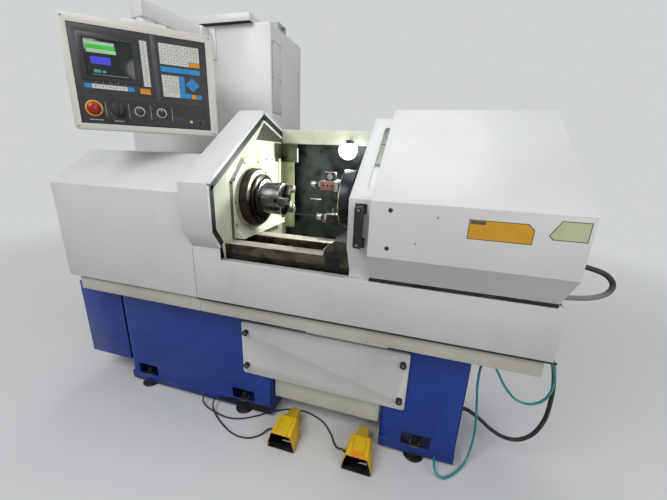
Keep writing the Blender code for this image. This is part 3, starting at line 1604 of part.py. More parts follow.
def foot_switch(side, x):
    """A cast foot guard with an open mouth, its treadle and its cable gland."""
    back = pedal_front + pedal_length
    wide = pedal_width / 2
    neck = pedal_neck_width / 2
    shoulder = (pedal_front + pedal_length * pedal_shoulder_share, wide * pedal_shoulder_width_share,
                pedal_height)
    sections = [
        (pedal_front, wide, pedal_mouth_height),
        shoulder,
        (pedal_front + pedal_length * pedal_neck_start_share, neck * pedal_neck_flare,
         pedal_neck_height * pedal_neck_rise),
        (back, neck, pedal_neck_height),
    ]
    guard = pedal_solid(f"{side}_foot_switch", x, sections, 0, yellow)
    inside_back = pedal_front + pedal_length * pedal_inside_share
    inner = [
        (pedal_front - overrun, wide, pedal_mouth_height),
        shoulder,
        (inside_back, neck * pedal_inside_flare, pedal_neck_height * pedal_neck_rise),
    ]
    cut(guard, pedal_solid(f"{side}_mouth", x, inner, pedal_wall))
    gland_y = pedal_front + pedal_length * pedal_gland_share
    gland_z = cable_gland_radius * pedal_gland_lift
    gland = rod(f"{side}_pedal_gland", cable_gland_radius, x - wide - cable_gland_length,
                x - wide + pedal_wall * 2, (gland_y, gland_z), "X")
    unite(guard, gland)
    hinge_y = inside_back - treadle_setback
    hinge_half = treadle_width / 2
    lug = block(f"{side}_lug", (x - hinge_half / 2, hinge_y - treadle_pin_radius * 2, pedal_floor - bite),
                (x + hinge_half / 2, hinge_y, treadle_height - treadle_thickness / 2 - running_gap))
    unite(guard, lug)
    hinge = pivot(f"{side}_treadle_hinge", (x, hinge_y, treadle_height))
    treadle = block(f"{side}_treadle", (-hinge_half, -treadle_length, -treadle_thickness / 2),
                    (hinge_half, treadle_pin_radius, treadle_thickness / 2), steel)
    for vertex in treadle.data.vertices:
        vertex.co += treadle.location
    treadle.location = (x, hinge_y, treadle_height)
    treadle.rotation_euler.x = -treadle_tilt
    carry(hinge, treadle)
    return (x - wide - cable_gland_length - seam, gland_y, gland_z), LEFTWARD


pedal_right_x = pedal_left_x + pedal_spacing
left_pedal_end = foot_switch("left", pedal_left_x)
right_pedal_end = foot_switch("right", pedal_right_x)

# Cords, tubes and the conduit, each along points chosen by hand

sole_exit = plinth_front - sole_proud - cable_gland_length - seam
port_exit = tray_right + fitting_length + seam
cord("left_pedal_cable", ((left_cable_x, sole_exit, cable_gland_height), FORWARD), left_pedal_end, [
    (-0.286, -0.550, 0.030), (-0.258, -0.577, 0.020), (-0.213, -0.605, 0.0085),
    (-0.154, -0.636, 0.0055), (-0.088, -0.664, 0.0055), (-0.023, -0.676, 0.0055),
    (0.042, -0.664, 0.0055), (0.087, -0.630, 0.0070), (0.108, -0.596, 0.0120),
], pedal_cable_radius, left_cable_spacing, rubber)
cord("right_pedal_cable", ((right_cable_x, sole_exit, cable_gland_height), FORWARD), right_pedal_end, [
    (-0.360, -0.542, 0.022), (-0.313, -0.556, 0.0065), (-0.233, -0.574, 0.0055),
    (-0.154, -0.581, 0.0055), (-0.078, -0.562, 0.0055), (-0.005, -0.518, 0.0055),
    (0.082, -0.450, 0.0055), (0.172, -0.404, 0.0055), (0.282, -0.392, 0.0055),
    (0.392, -0.428, 0.0055), (0.462, -0.490, 0.0055), (0.502, -0.548, 0.0070),
    (0.525, -0.577, 0.0140),
], pedal_cable_radius, right_cable_spacing, rubber)
cord("coolant_tube", ((port_exit, tube_port_y, port_height), RIGHTWARD),
     ((tube_end_x, sole_exit, cable_gland_height), FORWARD), [
    (1.444, -0.449, 0.724), (1.480, -0.447, 0.655), (1.492, -0.445, 0.565), (1.472, -0.440, 0.490),
    (1.422, -0.434, 0.450), (1.367, -0.428, 0.455), (1.317, -0.420, 0.500), (1.277, -0.412, 0.562),
    (1.242, -0.404, 0.622), (1.214, -0.398, 0.630), (1.196, -0.396, 0.580), (1.196, -0.398, 0.480),
    (1.208, -0.400, 0.380), (1.220, -0.402, 0.280), (1.228, -0.404, 0.180), (1.224, -0.412, 0.090),
    (1.206, -0.440, 0.030), (1.172, -0.490, 0.0095), (1.122, -0.545, 0.0075), (1.077, -0.575, 0.012),
    (1.044, -0.566, 0.030),
], tube_radius, tube_spacing, teal)
cord("drain_hose", ((port_exit, hose_top_y, port_height), RIGHTWARD),
     ((right_plinth_right + fitting_length + seam, hose_port_y, hose_port_height), RIGHTWARD), [
    (1.484, -0.304, 0.702), (1.527, -0.309, 0.620), (1.550, -0.318, 0.520), (1.556, -0.328, 0.410),
    (1.548, -0.338, 0.300), (1.512, -0.346, 0.205), (1.452, -0.351, 0.153), (1.382, -0.352, 0.148),
    (1.312, -0.352, 0.180), (1.254, -0.351, 0.225),
], hose_radius, hose_spacing, rubber)
cord("conduit", ((cover_right + fitting_length + seam, conduit_y, conduit_high), RIGHTWARD),
     ((skin_right + fitting_length + seam, conduit_y, conduit_low), RIGHTWARD), [
    (1.492, conduit_y, 1.118), (1.582, conduit_y, 1.106), (1.656, conduit_y, 1.082),
    (1.692, conduit_y, 1.038), (1.678, conduit_y, 0.992), (1.622, conduit_y, 0.963),
    (1.542, conduit_y, 0.950),
], conduit_radius, conduit_spacing, black)
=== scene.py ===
# The looks of a CNC turning lathe: finishes, eased edges, small fittings, cords, floor, lamps and camera.
# Metres, +Z up. +X is the operator's right along the spindle line, and the front faces -Y.

import json
import math

import bmesh
import bpy
from mathutils import Euler, Matrix, Vector


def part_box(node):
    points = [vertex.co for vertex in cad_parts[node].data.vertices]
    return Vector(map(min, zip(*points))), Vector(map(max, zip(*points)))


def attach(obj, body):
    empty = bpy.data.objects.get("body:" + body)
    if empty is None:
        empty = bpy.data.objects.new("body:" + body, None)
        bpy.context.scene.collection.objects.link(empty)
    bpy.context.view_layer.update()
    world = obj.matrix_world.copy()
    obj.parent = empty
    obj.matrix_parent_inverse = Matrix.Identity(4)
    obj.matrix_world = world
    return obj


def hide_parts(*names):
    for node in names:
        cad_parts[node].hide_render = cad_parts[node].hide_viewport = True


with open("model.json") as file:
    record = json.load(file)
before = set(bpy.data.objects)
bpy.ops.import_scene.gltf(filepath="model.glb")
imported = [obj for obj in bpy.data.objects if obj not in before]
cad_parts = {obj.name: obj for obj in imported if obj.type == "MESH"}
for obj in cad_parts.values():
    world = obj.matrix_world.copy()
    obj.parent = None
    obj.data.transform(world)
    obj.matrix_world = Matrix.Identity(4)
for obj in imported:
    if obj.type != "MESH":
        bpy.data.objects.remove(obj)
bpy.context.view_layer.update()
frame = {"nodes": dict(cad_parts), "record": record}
scene = bpy.context.scene

# Camera, where the photograph was taken from
eye = Vector((0.818, -1.86, 1.55))
eye_right = Vector((0.9596, 0.2786, 0.0386))
eye_up = Vector((-0.1168, 0.2698, 0.9558))
eye_lens = 16.70

# Directions
LEFT = Vector((-1, 0, 0))
RIGHT = Vector((1, 0, 0))
FORWARD = Vector((0, -1, 0))
BACKWARD = Vector((0, 1, 0))
UP = Vector((0, 0, 1))
AXES = "XYZ"

# Places read from the frame
seam = 0.0003
chuck_low, chuck_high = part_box("chuck_body")
disc_low, disc_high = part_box("turret_disc")
apron_low, apron_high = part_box("front_apron")
panel_low, panel_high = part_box("access_panel")
cabinet_low, cabinet_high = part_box("cabinet")
cabinet_face = 0.180
lamp_low, lamp_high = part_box("work_lamp")
wall_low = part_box("end_wall")[0]
cover_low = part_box("fixed_cover")[0]
tray_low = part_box("coolant_tray")[0]
rear_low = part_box("rear_guard")[0]
saddle_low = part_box("saddle")[0]
plinth_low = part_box("left_plinth")[0]
bed_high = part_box("bed")[1]
spindle_centre = Vector((0, (chuck_low.y + chuck_high.y) / 2, (chuck_low.z + chuck_high.z) / 2))
turret_centre = Vector((0, (disc_low.y + disc_high.y) / 2, 1.308))
pendant_frame = (Matrix.Translation((-0.583, -0.458, 1.876))
                 @ Euler((math.radians(-3.1), 0, math.radians(38.8))).to_matrix().to_4x4())


def tone(red, green, blue):
    """A colour as the eye reads it, from 0 to 255, in the shader's own linear values."""
    linear = []
    for value in (red, green, blue):
        share = value / 255
        linear.append(share / 12.92 if share <= 0.04045 else ((share + 0.055) / 1.055) ** 2.4)
    return (*linear, 1.0)


# Finishes


class Signal:
    """A number at some point of a finish. Sums written with it add their own Math nodes."""

    def __init__(self, finish, socket):
        self.finish = finish
        self.socket = socket

    def worked(self, operation, first, second):
        return self.finish.node("ShaderNodeMath", {"operation": operation}, {0: first, 1: second})

    def __add__(self, other):
        return self.worked("ADD", self, other)

    def __radd__(self, other):
        return self.worked("ADD", other, self)

    def __sub__(self, other):
        return self.worked("SUBTRACT", self, other)

    def __rsub__(self, other):
        return self.worked("SUBTRACT", other, self)

    def __mul__(self, other):
        return self.worked("MULTIPLY", self, other)

    def __rmul__(self, other):
        return self.worked("MULTIPLY", other, self)

    def __pow__(self, other):
        return self.worked("POWER", self, other)


class Finish:
    """One finish of the machine: a material whose nodes are added by node()."""

    def __init__(self, name, slot):
        self.slot = slot
        self.material = bpy.data.materials.new(name)
        self.material.use_nodes = True
        self.tree = self.material.node_tree
        self.shader = self.tree.nodes["Principled BSDF"]

    def node(self, kind, settings=None, inputs=None, output=0):
        """Add a node, set it up, feed its sockets and hand back one of its outputs."""
        node = self.tree.nodes.new(kind)
        for key, value in (settings or {}).items():
            setattr(node, key, value)
        for key, value in (inputs or {}).items():
            self.feed(node.inputs[key], value)
        return Signal(self, node.outputs[output])

    def feed(self, socket, value):
        if isinstance(value, Signal):
            self.tree.links.new(value.socket, socket)
        else:
            socket.default_value = value

    def coat(self, **sockets):
        """Feed the shader's sockets, named with underscores for spaces."""
        for key, value in sockets.items():
            self.feed(self.shader.inputs[key.replace("_", " ")], value)
        return self

    def here(self, size=1.0, stretch=(1, 1, 1), centre=(0, 0, 0)):
        """The point on the piece, from a centre, in grains of this size."""
        point = self.node("ShaderNodeTexCoord", output="Object")
        grain = [size * share for share in stretch]
        return self.node("ShaderNodeMapping", {"vector_type": "TEXTURE"},
                         {"Vector": point, "Location": centre, "Scale": grain})

    def along(self, axis, centre=(0, 0, 0)):
        """How far the point lies along X, Y or Z from a centre."""
        return self.node("ShaderNodeSeparateXYZ", None, {"Vector": self.here(centre=centre)}, output=axis)

    def noise(self, size, detail=2, stretch=(1, 1, 1), centre=(0, 0, 0)):
        """Soft random change from 0 to 1, with grains of about this size."""
        return self.node("ShaderNodeTexNoise", None,
                         {"Vector": self.here(size, stretch, centre), "Scale": 1.0, "Detail": detail})

    def between(self, signal, low, high, first=0.0, last=1.0):
        """A steady change from first to last while the signal goes from low to high."""
        return self.node("ShaderNodeMapRange", None, {"Value": signal, "From Min": low, "From Max": high,
                                                      "To Min": first, "To Max": last})

    def mixed(self, share, first, second):
        """A colour between two others."""
        return self.node("ShaderNodeMix", {"data_type": "RGBA"}, {0: share, 6: first, 7: second}, output=2)

    def relief(self, height, depth):
        """Bumps of this depth in metres."""
        return self.node("ShaderNodeBump", None, {"Height": height, "Distance": depth, "Strength": 1.0})


def enamel(name, slot, colour, dirt, dirt_share=0.25, roughness=0.33, peel=0.00008):
    """Sprayed enamel: faint orange peel, cloudy dust, streaks that run down and a few specks."""
    finish = Finish(name, slot)
    clouds = finish.noise(0.40, detail=4)
    streaks = finish.noise(0.045, detail=3, stretch=(1, 1, 9))
    patches = finish.between(finish.noise(0.22), 0.50, 0.70)
    specks = finish.noise(0.006)
    dust = (finish.between(clouds, 0.42, 0.80) * 0.8 + finish.between(streaks, 0.55, 0.85) * patches * 0.6
            + finish.between(specks, 0.75, 0.79) * 1.4)
    return finish.coat(
        Base_Color=finish.mixed(dust * dirt_share, colour, dirt),
        Roughness=finish.between(clouds, 0.3, 0.7, roughness - 0.06, roughness + 0.10),
        Normal=finish.relief(finish.noise(0.005, detail=1), peel),
    )


def worn_enamel(name, slot, colour, under, dirt, chip_size, chip_limit, darkening_height):
    """Enamel with chips down to what is under it, scuffs, and a blotchy darkening that thins out above the floor.
    """
    finish = Finish(name, slot)
    clouds = finish.noise(0.18, detail=5)
    scuffs = finish.noise(0.030, detail=3, stretch=(3, 3, 0.4))
    chips = finish.between(finish.noise(chip_size, detail=4), chip_limit, chip_limit + 0.03)
    # Darker towards the floor, fading out at the darkening height, with blotches all over.
    low = finish.between(finish.along("Z"), darkening_height, 0.0) ** 2.0
    floor_darkening = low * finish.between(clouds, 0.25, 0.65) * 0.9 + finish.between(clouds, 0.52, 0.80) * 0.25
    scuffed = finish.mixed(finish.between(scuffs, 0.58, 0.78) * 0.30, colour, dirt)
    dirty = finish.mixed(floor_darkening, scuffed, dirt)
    return finish.coat(
        Base_Color=finish.mixed(chips, dirty, under),
        Roughness=finish.between(clouds, 0.3, 0.7, 0.28, 0.45) + floor_darkening * 0.3,
        Normal=finish.relief(finish.noise(0.006, detail=1) * 0.3 - chips, 0.00025),
    )


def splashed_enamel_with_shadow(name, slot, colour, oil, centre, reach):
    """Pale enamel splashed with oil and rust round the spindle and towards the floor of the tray, with a painted
    shadow crescent below and in front of the centre.
    """
    finish = Finish(name, slot)
    sideways = finish.along("Y", centre)
    upwards = finish.along("Z", centre)
    away = (sideways * sideways + upwards * upwards) ** 0.5
    clouds = finish.noise(0.16, detail=5)
    runs = finish.noise(0.018, detail=3, stretch=(1, 1, 9))
    spots = finish.between(finish.noise(0.012, detail=3), 0.66, 0.74)
    near = finish.between(away, reach, reach * 0.45) * finish.between(clouds, 0.30, 0.62)
    lower = finish.between(upwards, -0.05, -0.34)
    # Painted shadow: a crescent just outside the reach, below and in front of the centre, as cast by the boss.
    boss_shadow_crescent = (finish.between(away, reach * 0.76, reach * 0.72) * finish.between(sideways, 0.02, -0.05)
                * finish.between(upwards, 0.09, -0.02))
    # Oil stains and rust, with the painted shadow crescent added in.
    stain = (near * 0.40 + lower * finish.between(runs, 0.40, 0.70) * 0.50
             + finish.between(clouds, 0.55, 0.80) * 0.30 + spots * 0.35 + boss_shadow_crescent * 0.45)
    return finish.coat(
        Base_Color=finish.mixed(stain, colour, oil),
        Roughness=finish.between(clouds, 0.3, 0.7, 0.20, 0.42),
        Normal=finish.relief(finish.noise(0.007), 0.0001),
    )


def oily_casting(name, slot, colour, oil, roughness=0.42):
    """Cast iron with a sandy skin, oil in patches and a little rust."""
    finish = Finish(name, slot)
    grain = finish.noise(0.0035, detail=3)
    patches = finish.noise(0.07, detail=5)
    rust = finish.between(finish.noise(0.035, detail=5), 0.62, 0.75)
    oiled = finish.mixed(finish.between(patches, 0.40, 0.66), colour, oil)
    return finish.coat(
        Base_Color=finish.mixed(rust * 0.5, oiled, tone(96, 62, 38)),
        Metallic=0.55,
        Roughness=finish.between(patches, 0.35, 0.65, roughness + 0.12, roughness - 0.14),
        Normal=finish.relief(grain, 0.00035),
    )


def ground_steel(name, slot, colour, stain, stain_share, length_axis="X", metal=0.92):
    """Ground steel: fine lines along the slide, brown stains and darker worn bands."""
    finish = Finish(name, slot)
    stretch = [30 if axis == length_axis else 1 for axis in AXES]
    lines = finish.noise(0.0012, stretch=stretch)
    bands = finish.noise(0.012, stretch=stretch)
    patches = finish.between(finish.noise(0.055, detail=5), 0.40, 0.70)
    shade = finish.mixed(finish.between(bands, 0.35, 0.75) * 0.45, colour, tone(96, 94, 88))
    return finish.coat(
        Base_Color=finish.mixed(patches * stain_share, shade, stain),
        Metallic=metal,
        Roughness=finish.between(lines, 0.3, 0.7, 0.22, 0.40) + patches * 0.18,
        Normal=finish.relief(lines, 0.00005),
    )


def turned_steel(name, slot, colour, centre, roughness=0.26, stain_share=0.35, axis="X"):
    """Steel turned round an axis: fine rings, soft patches of oil and a few nicks."""
    finish = Finish(name, slot)
    across = [other for other in AXES if other != axis]
    first = finish.along(across[0], centre)
    second = finish.along(across[1], centre)
    radius = (first * first + second * second) ** 0.5
    ring_place = finish.node("ShaderNodeCombineXYZ", None, {0: radius, 1: finish.along(axis, centre)})
    scaled = finish.node("ShaderNodeMapping", {"vector_type": "TEXTURE"},
                         {"Vector": ring_place, "Scale": (0.0011, 0.0011, 1)})
    rings = finish.node("ShaderNodeTexNoise", None, {"Vector": scaled, "Scale": 1.0, "Detail": 1})
    patches = finish.between(finish.noise(0.030, detail=5), 0.42, 0.72)
    nicks = finish.between(finish.noise(0.006, detail=2), 0.70, 0.76)
    shade = finish.mixed(finish.between(rings, 0.3, 0.7) * 0.30, colour, tone(70, 68, 64))
    return finish.coat(
        Base_Color=finish.mixed(patches * stain_share + nicks * 0.4, shade, tone(46, 36, 26)),
        Metallic=0.95,
        Roughness=finish.between(rings, 0.3, 0.7, roughness - 0.05, roughness + 0.08) + patches * 0.12,
        Normal=finish.relief(rings - nicks, 0.00006),
    )


def lit_top_shaded_foot(name, slot, upper, lower, centre, start, end, metal=0.3):
    """Bright above and dark below: painted light on the top and painted shade below, partly where oil has run
    down and stayed.
    """
    finish = Finish(name, slot)
    blotches = finish.noise(0.018, detail=4)
    height = finish.along("Z", centre) + (blotches - 0.5) * 0.05
    return finish.coat(
        Base_Color=finish.mixed(finish.between(height, start, end), upper, lower),
        Metallic=metal,
        Roughness=finish.between(blotches, 0.3, 0.7, 0.24, 0.46),
        Normal=finish.relief(blotches, 0.0001),
    )


def shaded_sheath(name, slot, upper, lower, start, end):
    """A cord's sheath that is one colour at its top and another at its foot."""
    finish = Finish(name, slot)
    rings = finish.noise(0.006, detail=3)
    height = finish.between(finish.along("Z") + rings * 0.02, start, end)
    return finish.coat(Base_Color=finish.mixed(height, lower, upper),
                       Roughness=finish.between(rings, 0.3, 0.7, 0.38, 0.55),
                       Normal=finish.relief(rings, 0.0002))


def moulded(name, slot, colour, light, roughness=0.42, grain=0.0016):
    """Moulded plastic or rubber: a fine grain, paler where it is rubbed or dusty."""
    finish = Finish(name, slot)
    pores = finish.noise(grain, detail=2)
    rubbed = finish.between(finish.noise(0.05, detail=4), 0.48, 0.78)
    return finish.coat(
        Base_Color=finish.mixed(rubbed * 0.55, colour, light),
        Roughness=finish.between(rubbed, 0, 1, roughness, roughness + 0.12),
        Normal=finish.relief(pores, 0.00008),
    )


def lit(name, slot, colour, strength, dark):
    """A lit field of a display or a lamp, a little uneven."""
    finish = Finish(name, slot)
    rows = finish.between(finish.noise(0.003), 0.35, 0.65)
    glow = finish.mixed(rows * 0.25, colour, dark)
    return finish.coat(Base_Color=dark, Emission_Color=glow, Emission_Strength=strength, Roughness=0.25)


def clear_sheet(name, slot, low_edge, high_edge):
    """Scratched clear plastic, coloured in bands by height: whitish at its foot, greenish over it and grey near
    its top.
    """
    finish = Finish(name, slot)
    scratches = finish.between(finish.noise(0.004, stretch=(1, 12, 1)), 0.60, 0.80)
    height = finish.along("Z")
    foot = finish.between(height, low_edge, high_edge)
    tint = finish.mixed(finish.between(height, 1.60, 1.64), tone(206, 216, 192), tone(150, 156, 152))
    foot_band = finish.mixed(foot, tone(240, 242, 238), tint)
    return finish.coat(
        Base_Color=finish.mixed(scratches, foot_band, tone(238, 240, 238)),
        Roughness=finish.between(scratches, 0, 1, 0.08, 0.35),
        Alpha=finish.between(foot, 0, 1, 0.86, 0.52) + scratches * 0.1,
    )


white = enamel("white_enamel", "white_paint", tone(219, 220, 219), tone(168, 163, 152), 0.22)
# A slightly darker, dustier copy of the white enamel for the apron and access panel: painted shade and dust.
white_shaded = enamel("white_enamel_apron_shaded", "white_paint", tone(212, 213, 210), tone(164, 160, 148), 0.30)
cream = enamel("cream_enamel", "cream_paint", tone(196, 194, 182), tone(120, 110, 88), 0.50, 0.38)
drawer_paint = enamel("drawer_enamel", "cream_paint", tone(216, 219, 204), tone(130, 124, 100), 0.40, 0.38)
pendant_cream = enamel("pendant_cream", "cream_paint", tone(214, 211, 202), tone(152, 142, 122), 0.28, 0.40)
blue = worn_enamel("blue_enamel", "blue_paint", tone(5, 50, 142), tone(16, 20, 34), tone(26, 34, 62),
                   0.020, 0.70, 0.20)
yellow = worn_enamel("worn_yellow", "yellow_paint", tone(230, 186, 16), tone(46, 36, 20),
                     tone(124, 90, 24), 0.022, 0.70, 0.075)
pale_green = splashed_enamel_with_shadow("splashed_pale_green_with_boss_shadow", "green_paint", tone(221, 226, 204),
                             tone(110, 98, 60), spindle_centre, 0.26)
back_green = splashed_enamel_with_shadow("splashed_back_panel", "green_paint", tone(196, 206, 160), tone(96, 92, 58),
                             (0, 0.15, 1.45), 0.20)
rail_cream = splashed_enamel_with_shadow("stained_rail", "green_paint", tone(218, 222, 200), tone(120, 108, 74),
                             spindle_centre, 0.10)
dark_guard = oily_casting("oily_guard", "green_paint", tone(70, 78, 78), tone(40, 44, 42), 0.40)
casting = oily_casting("oily_cast_iron", "casting", tone(60, 58, 52), tone(30, 27, 22))
# Dark grey enamel, also used as painted shade on the fixed cover's foot.
dark_enamel = oily_casting("dark_grey_enamel_and_cover_shade", "dark_enamel", tone(50, 52, 56), tone(26, 26, 28), 0.36)
boss_iron = turned_steel("oily_boss", "casting", tone(62, 58, 52), spindle_centre, 0.34, 0.75)
ways = ground_steel("ground_ways", "casting", tone(226, 221, 208), tone(140, 104, 66), 0.38, metal=0.35)
way_side = oily_casting("oily_way_side", "casting", tone(88, 80, 60), tone(34, 32, 26), 0.3)
slide_steel = ground_steel("ground_slide", "casting", tone(130, 128, 120), tone(66, 50, 34), 0.60, "Y")
screw_steel = ground_steel("screw_steel", "ground_steel", tone(150, 148, 140), tone(70, 56, 38), 0.4)
chuck_steel = turned_steel("chuck_steel", "ground_steel", tone(98, 97, 94), spindle_centre, 0.24, 0.45)
# Bright chuck steel for screws and seats, also a painted highlight on the chuck's rim.
chuck_bright_and_rim_highlight = turned_steel("bright_chuck_steel_and_rim_highlight", "ground_steel", tone(186, 182, 172), spindle_centre,
                          0.18, 0.2)
jaw_steel = ground_steel("jaw_steel", "ground_steel", tone(88, 86, 82), tone(44, 36, 28), 0.5)
# Bright jaw steel, also painted highlights on edges and along the chuck's side.
jaw_bright_and_highlight = ground_steel("bright_jaw_steel_and_highlight", "ground_steel", tone(206, 202, 194), tone(120, 104, 84), 0.3)
nose_steel = turned_steel("dark_nose_steel", "dark_steel", tone(44, 41, 38), spindle_centre, 0.30, 0.6)
turret_steel = turned_steel("turret_steel", "dark_steel", tone(48, 52, 56), turret_centre, 0.28, 0.5)
tool_steel = oily_casting("tool_holder_steel", "dark_steel", tone(74, 72, 66), tone(34, 30, 26), 0.34)
brown_steel = oily_casting("browned_holder", "dark_steel", tone(172, 128, 110), tone(112, 78, 62), 0.38)
# Bright steel for nuts, collars and clamps, also a painted highlight on the turret disc's rim.
bright_steel_and_disc_highlight = turned_steel("bright_steel_and_disc_highlight", "chrome_metal", tone(204, 202, 198), turret_centre, 0.14, 0.15)
chrome = turned_steel("plated_steel", "chrome_metal", tone(210, 210, 210), (0, 0, 0), 0.12, 0.1, "Z")
zinc = turned_steel("zinc_screws", "chrome_metal", tone(160, 156, 146), (0, 0, 0), 0.34, 0.5, "Z")
dark_iron = oily_casting("black_iron", "dark_steel", tone(34, 33, 34), tone(18, 17, 17), 0.5)
treadle_metal = ground_steel("treadle_aluminium", "aluminium_metal", tone(190, 188, 182),
                             tone(96, 84, 66), 0.45)
black = moulded("black_plastic_skin", "black_plastic", tone(24, 24, 25), tone(58, 58, 58))
handle_black = moulded("handle_plastic", "black_plastic", tone(16, 16, 17), tone(46, 46, 48), 0.28)
panel_black = moulded("panel_charcoal", "black_plastic", tone(37, 37, 41), tone(56, 56, 60), 0.48, 0.0010)
# Grey for rings, also painted highlight on the edges of the panel's plates.
panel_grey_and_highlight = moulded("panel_grey_and_edge_highlight", "black_plastic", tone(66, 66, 70), tone(96, 96, 98), 0.40)
bezel_black = moulded("screen_bezel_black", "black_plastic", tone(28, 28, 31), tone(42, 42, 45), 0.42)
rubber = moulded("rubber_skin", "rubber", tone(26, 26, 27), tone(70, 66, 60), 0.66, 0.0022)
seal_rubber_and_gap_shadow = moulded("seal_rubber_and_gap_shadow", "rubber", tone(22, 24, 22), tone(54, 58, 50), 0.50)
cable_black = moulded("cable_sheath", "rubber", tone(24, 24, 26), tone(84, 76, 66), 0.50)
conduit_sheath = shaded_sheath("conduit_sheath", "rubber", tone(26, 26, 28), tone(146, 144, 140), 0.985, 1.06)
gland_grey = moulded("gland_grey", "white_paint", tone(176, 178, 178), tone(150, 150, 148), 0.42)
tube_teal = moulded("teal_tube_skin", "tube_plastic", tone(30, 140, 142), tone(96, 190, 186), 0.16)
red = moulded("red_button", "red_plastic", tone(168, 26, 22), tone(206, 70, 58), 0.24)
stop_seat = moulded("stop_seat_red", "red_plastic", tone(120, 30, 24), tone(160, 60, 30), 0.42)
ring_yellow = moulded("yellow_ring", "yellow_paint", tone(226, 168, 24), tone(190, 130, 30), 0.38)
key_white = moulded("white_keys", "black_plastic", tone(206, 206, 200), tone(176, 174, 166), 0.42)
key_blue = moulded("blue_keys", "black_plastic", tone(38, 136, 200), tone(30, 104, 166), 0.40)
key_orange = moulded("orange_keys", "black_plastic", tone(214, 140, 30), tone(180, 112, 30), 0.40)
mark_white = moulded("white_marks", "black_plastic", tone(208, 208, 208), tone(168, 168, 166), 0.5)
mark_dark_and_shadow = moulded("dark_marks_and_shadow_line", "black_plastic", tone(50, 50, 56), tone(74, 74, 78), 0.5)
plate_amber = moulded("amber_plate", "yellow_paint", tone(216, 158, 38), tone(192, 134, 38), 0.34)
plate_pale = moulded("pale_plate", "cream_paint", tone(198, 200, 164), tone(176, 178, 140), 0.34)
plate_rim = moulded("plate_rim", "black_plastic", tone(84, 80, 66), tone(110, 104, 84), 0.4)
seam_brown = moulded("seam_brown", "yellow_paint", tone(120, 88, 20), tone(90, 66, 20), 0.5)
patch_orange = moulded("orange_patch", "yellow_paint", tone(240, 150, 20), tone(200, 110, 20), 0.42)
window_sheet = clear_sheet("window_sheet", "window", 1.500, 1.512)
# Bearing cap: painted light on its top, and painted shade below that is partly oil.
cap_ring = lit_top_shaded_foot("oily_and_shaded_cap_ring", "green_paint", tone(226, 220, 186), tone(44, 39, 33), spindle_centre,
                    0.085, -0.01)
# Spindle back plate: a painted highlight on its top over painted shade below.
back_plate = lit_top_shaded_foot("back_plate_painted_glint", "ground_steel", tone(236, 234, 230), tone(40, 37, 34),
                      spindle_centre, 0.050, 0.020, 0.6)
# Olive for bars and hems, also painted shade in grooves and channels.
olive_and_groove_shade = moulded("olive_and_groove_shade", "green_paint", tone(96, 98, 74), tone(66, 66, 50), 0.5)
shield_olive_and_shadow = oily_casting("shield_olive_and_shadow", "dark_steel", tone(92, 98, 78), tone(58, 62, 50), 0.35)
# A dark finish for painted shade in grooves, gaps and recesses.
painted_shade_dark = moulded("painted_shade_dark", "green_paint", tone(62, 66, 58), tone(40, 42, 38), 0.6)
screen_glass = moulded("screen_glass", "screen", tone(20, 30, 30), tone(34, 50, 48), 0.10, 0.004)
glow_green = lit("screen_green", "screen", tone(70, 190, 66), 0.9, tone(20, 60, 24))
glow_pale = lit("screen_pale", "screen", tone(176, 214, 180), 0.8, tone(40, 60, 44))
glow_blue = lit("screen_blue", "screen", tone(70, 70, 214), 0.9, tone(20, 20, 70))
glow_teal = lit("screen_teal", "screen", tone(66, 168, 150), 0.8, tone(14, 50, 44))
glow_lamp = lit("lamp_lens_glow", "window", tone(250, 255, 252), 7.0, tone(214, 224, 218))
pilot_green = lit("pilot_lamp", "screen", tone(190, 200, 40), 0.8, tone(80, 84, 10))


# Modelling by hand


def choose(*pieces):
    """Select these pieces alone, with the first one active."""
    bpy.ops.object.select_all(action="DESELECT")
    for piece in pieces:
        piece.select_set(True)
    if pieces:
        bpy.context.view_layer.objects.active = pieces[0]


class Editing:
    """Edit mode on one piece. pick() selects by place and way it faces, so the tools act on that alone."""

    def __init__(self, piece, kind="FACE"):
        self.piece = piece
        self.kind = kind

    def __enter__(self):
        choose(self.piece)
        bpy.ops.object.mode_set(mode="EDIT")
        bpy.ops.mesh.select_mode(type=self.kind)
        bpy.ops.mesh.select_all(action="DESELECT")
        return self

    def pick(self, test):
        """Select the faces or edges whose middle and direction pass the test."""
        bpy.ops.mesh.select_all(action="DESELECT")
        work = bmesh.from_edit_mesh(self.piece.data)
        if self.kind == "FACE":
            for face in work.faces:
                face.select_set(bool(test(face.calc_center_median(), face.normal)))
        else:
            for edge in work.edges:
                first, last = (vertex.co for vertex in edge.verts)
                edge.select_set(bool(test((first + last) / 2, (last - first).normalized())))
        bmesh.update_edit_mesh(self.piece.data)

    def pick_all(self):
        bpy.ops.mesh.select_all(action="SELECT")

    def __exit__(self, *problem):
        bpy.ops.object.mode_set(mode="OBJECT")


def settle(piece):
    """Put the piece's place into its mesh."""
    choose(piece)
    bpy.ops.object.transform_apply(location=True, rotation=True, scale=True)
    return piece


def smooth(piece, angle=35):
    """Smooth shading over edges that turn by less than the angle."""
    choose(piece)
    bpy.ops.object.shade_smooth_by_angle(angle=math.radians(angle))
    return piece


def stepped(margin, by):
    """Inset the chosen faces by a margin and move what lies inside it."""
    bpy.ops.mesh.inset(thickness=margin)
    bpy.ops.mesh.extrude_region_move(TRANSFORM_OT_translate={"value": by})


def box(name, low, high, edge=0.0005, segments=2):
    """A block between two corners with its edges rounded."""
    bpy.ops.object.select_all(action="DESELECT")
    low, high = Vector(low), Vector(high)
    bpy.ops.mesh.primitive_cube_add(size=1, location=(low + high) / 2, scale=high - low)
    piece = bpy.context.active_object
    piece.name = name
    settle(piece)
    with Editing(piece) as edit:
        edit.pick_all()
        bpy.ops.mesh.bevel(offset=edge, segments=segments, affect="EDGES")
    return smooth(piece)


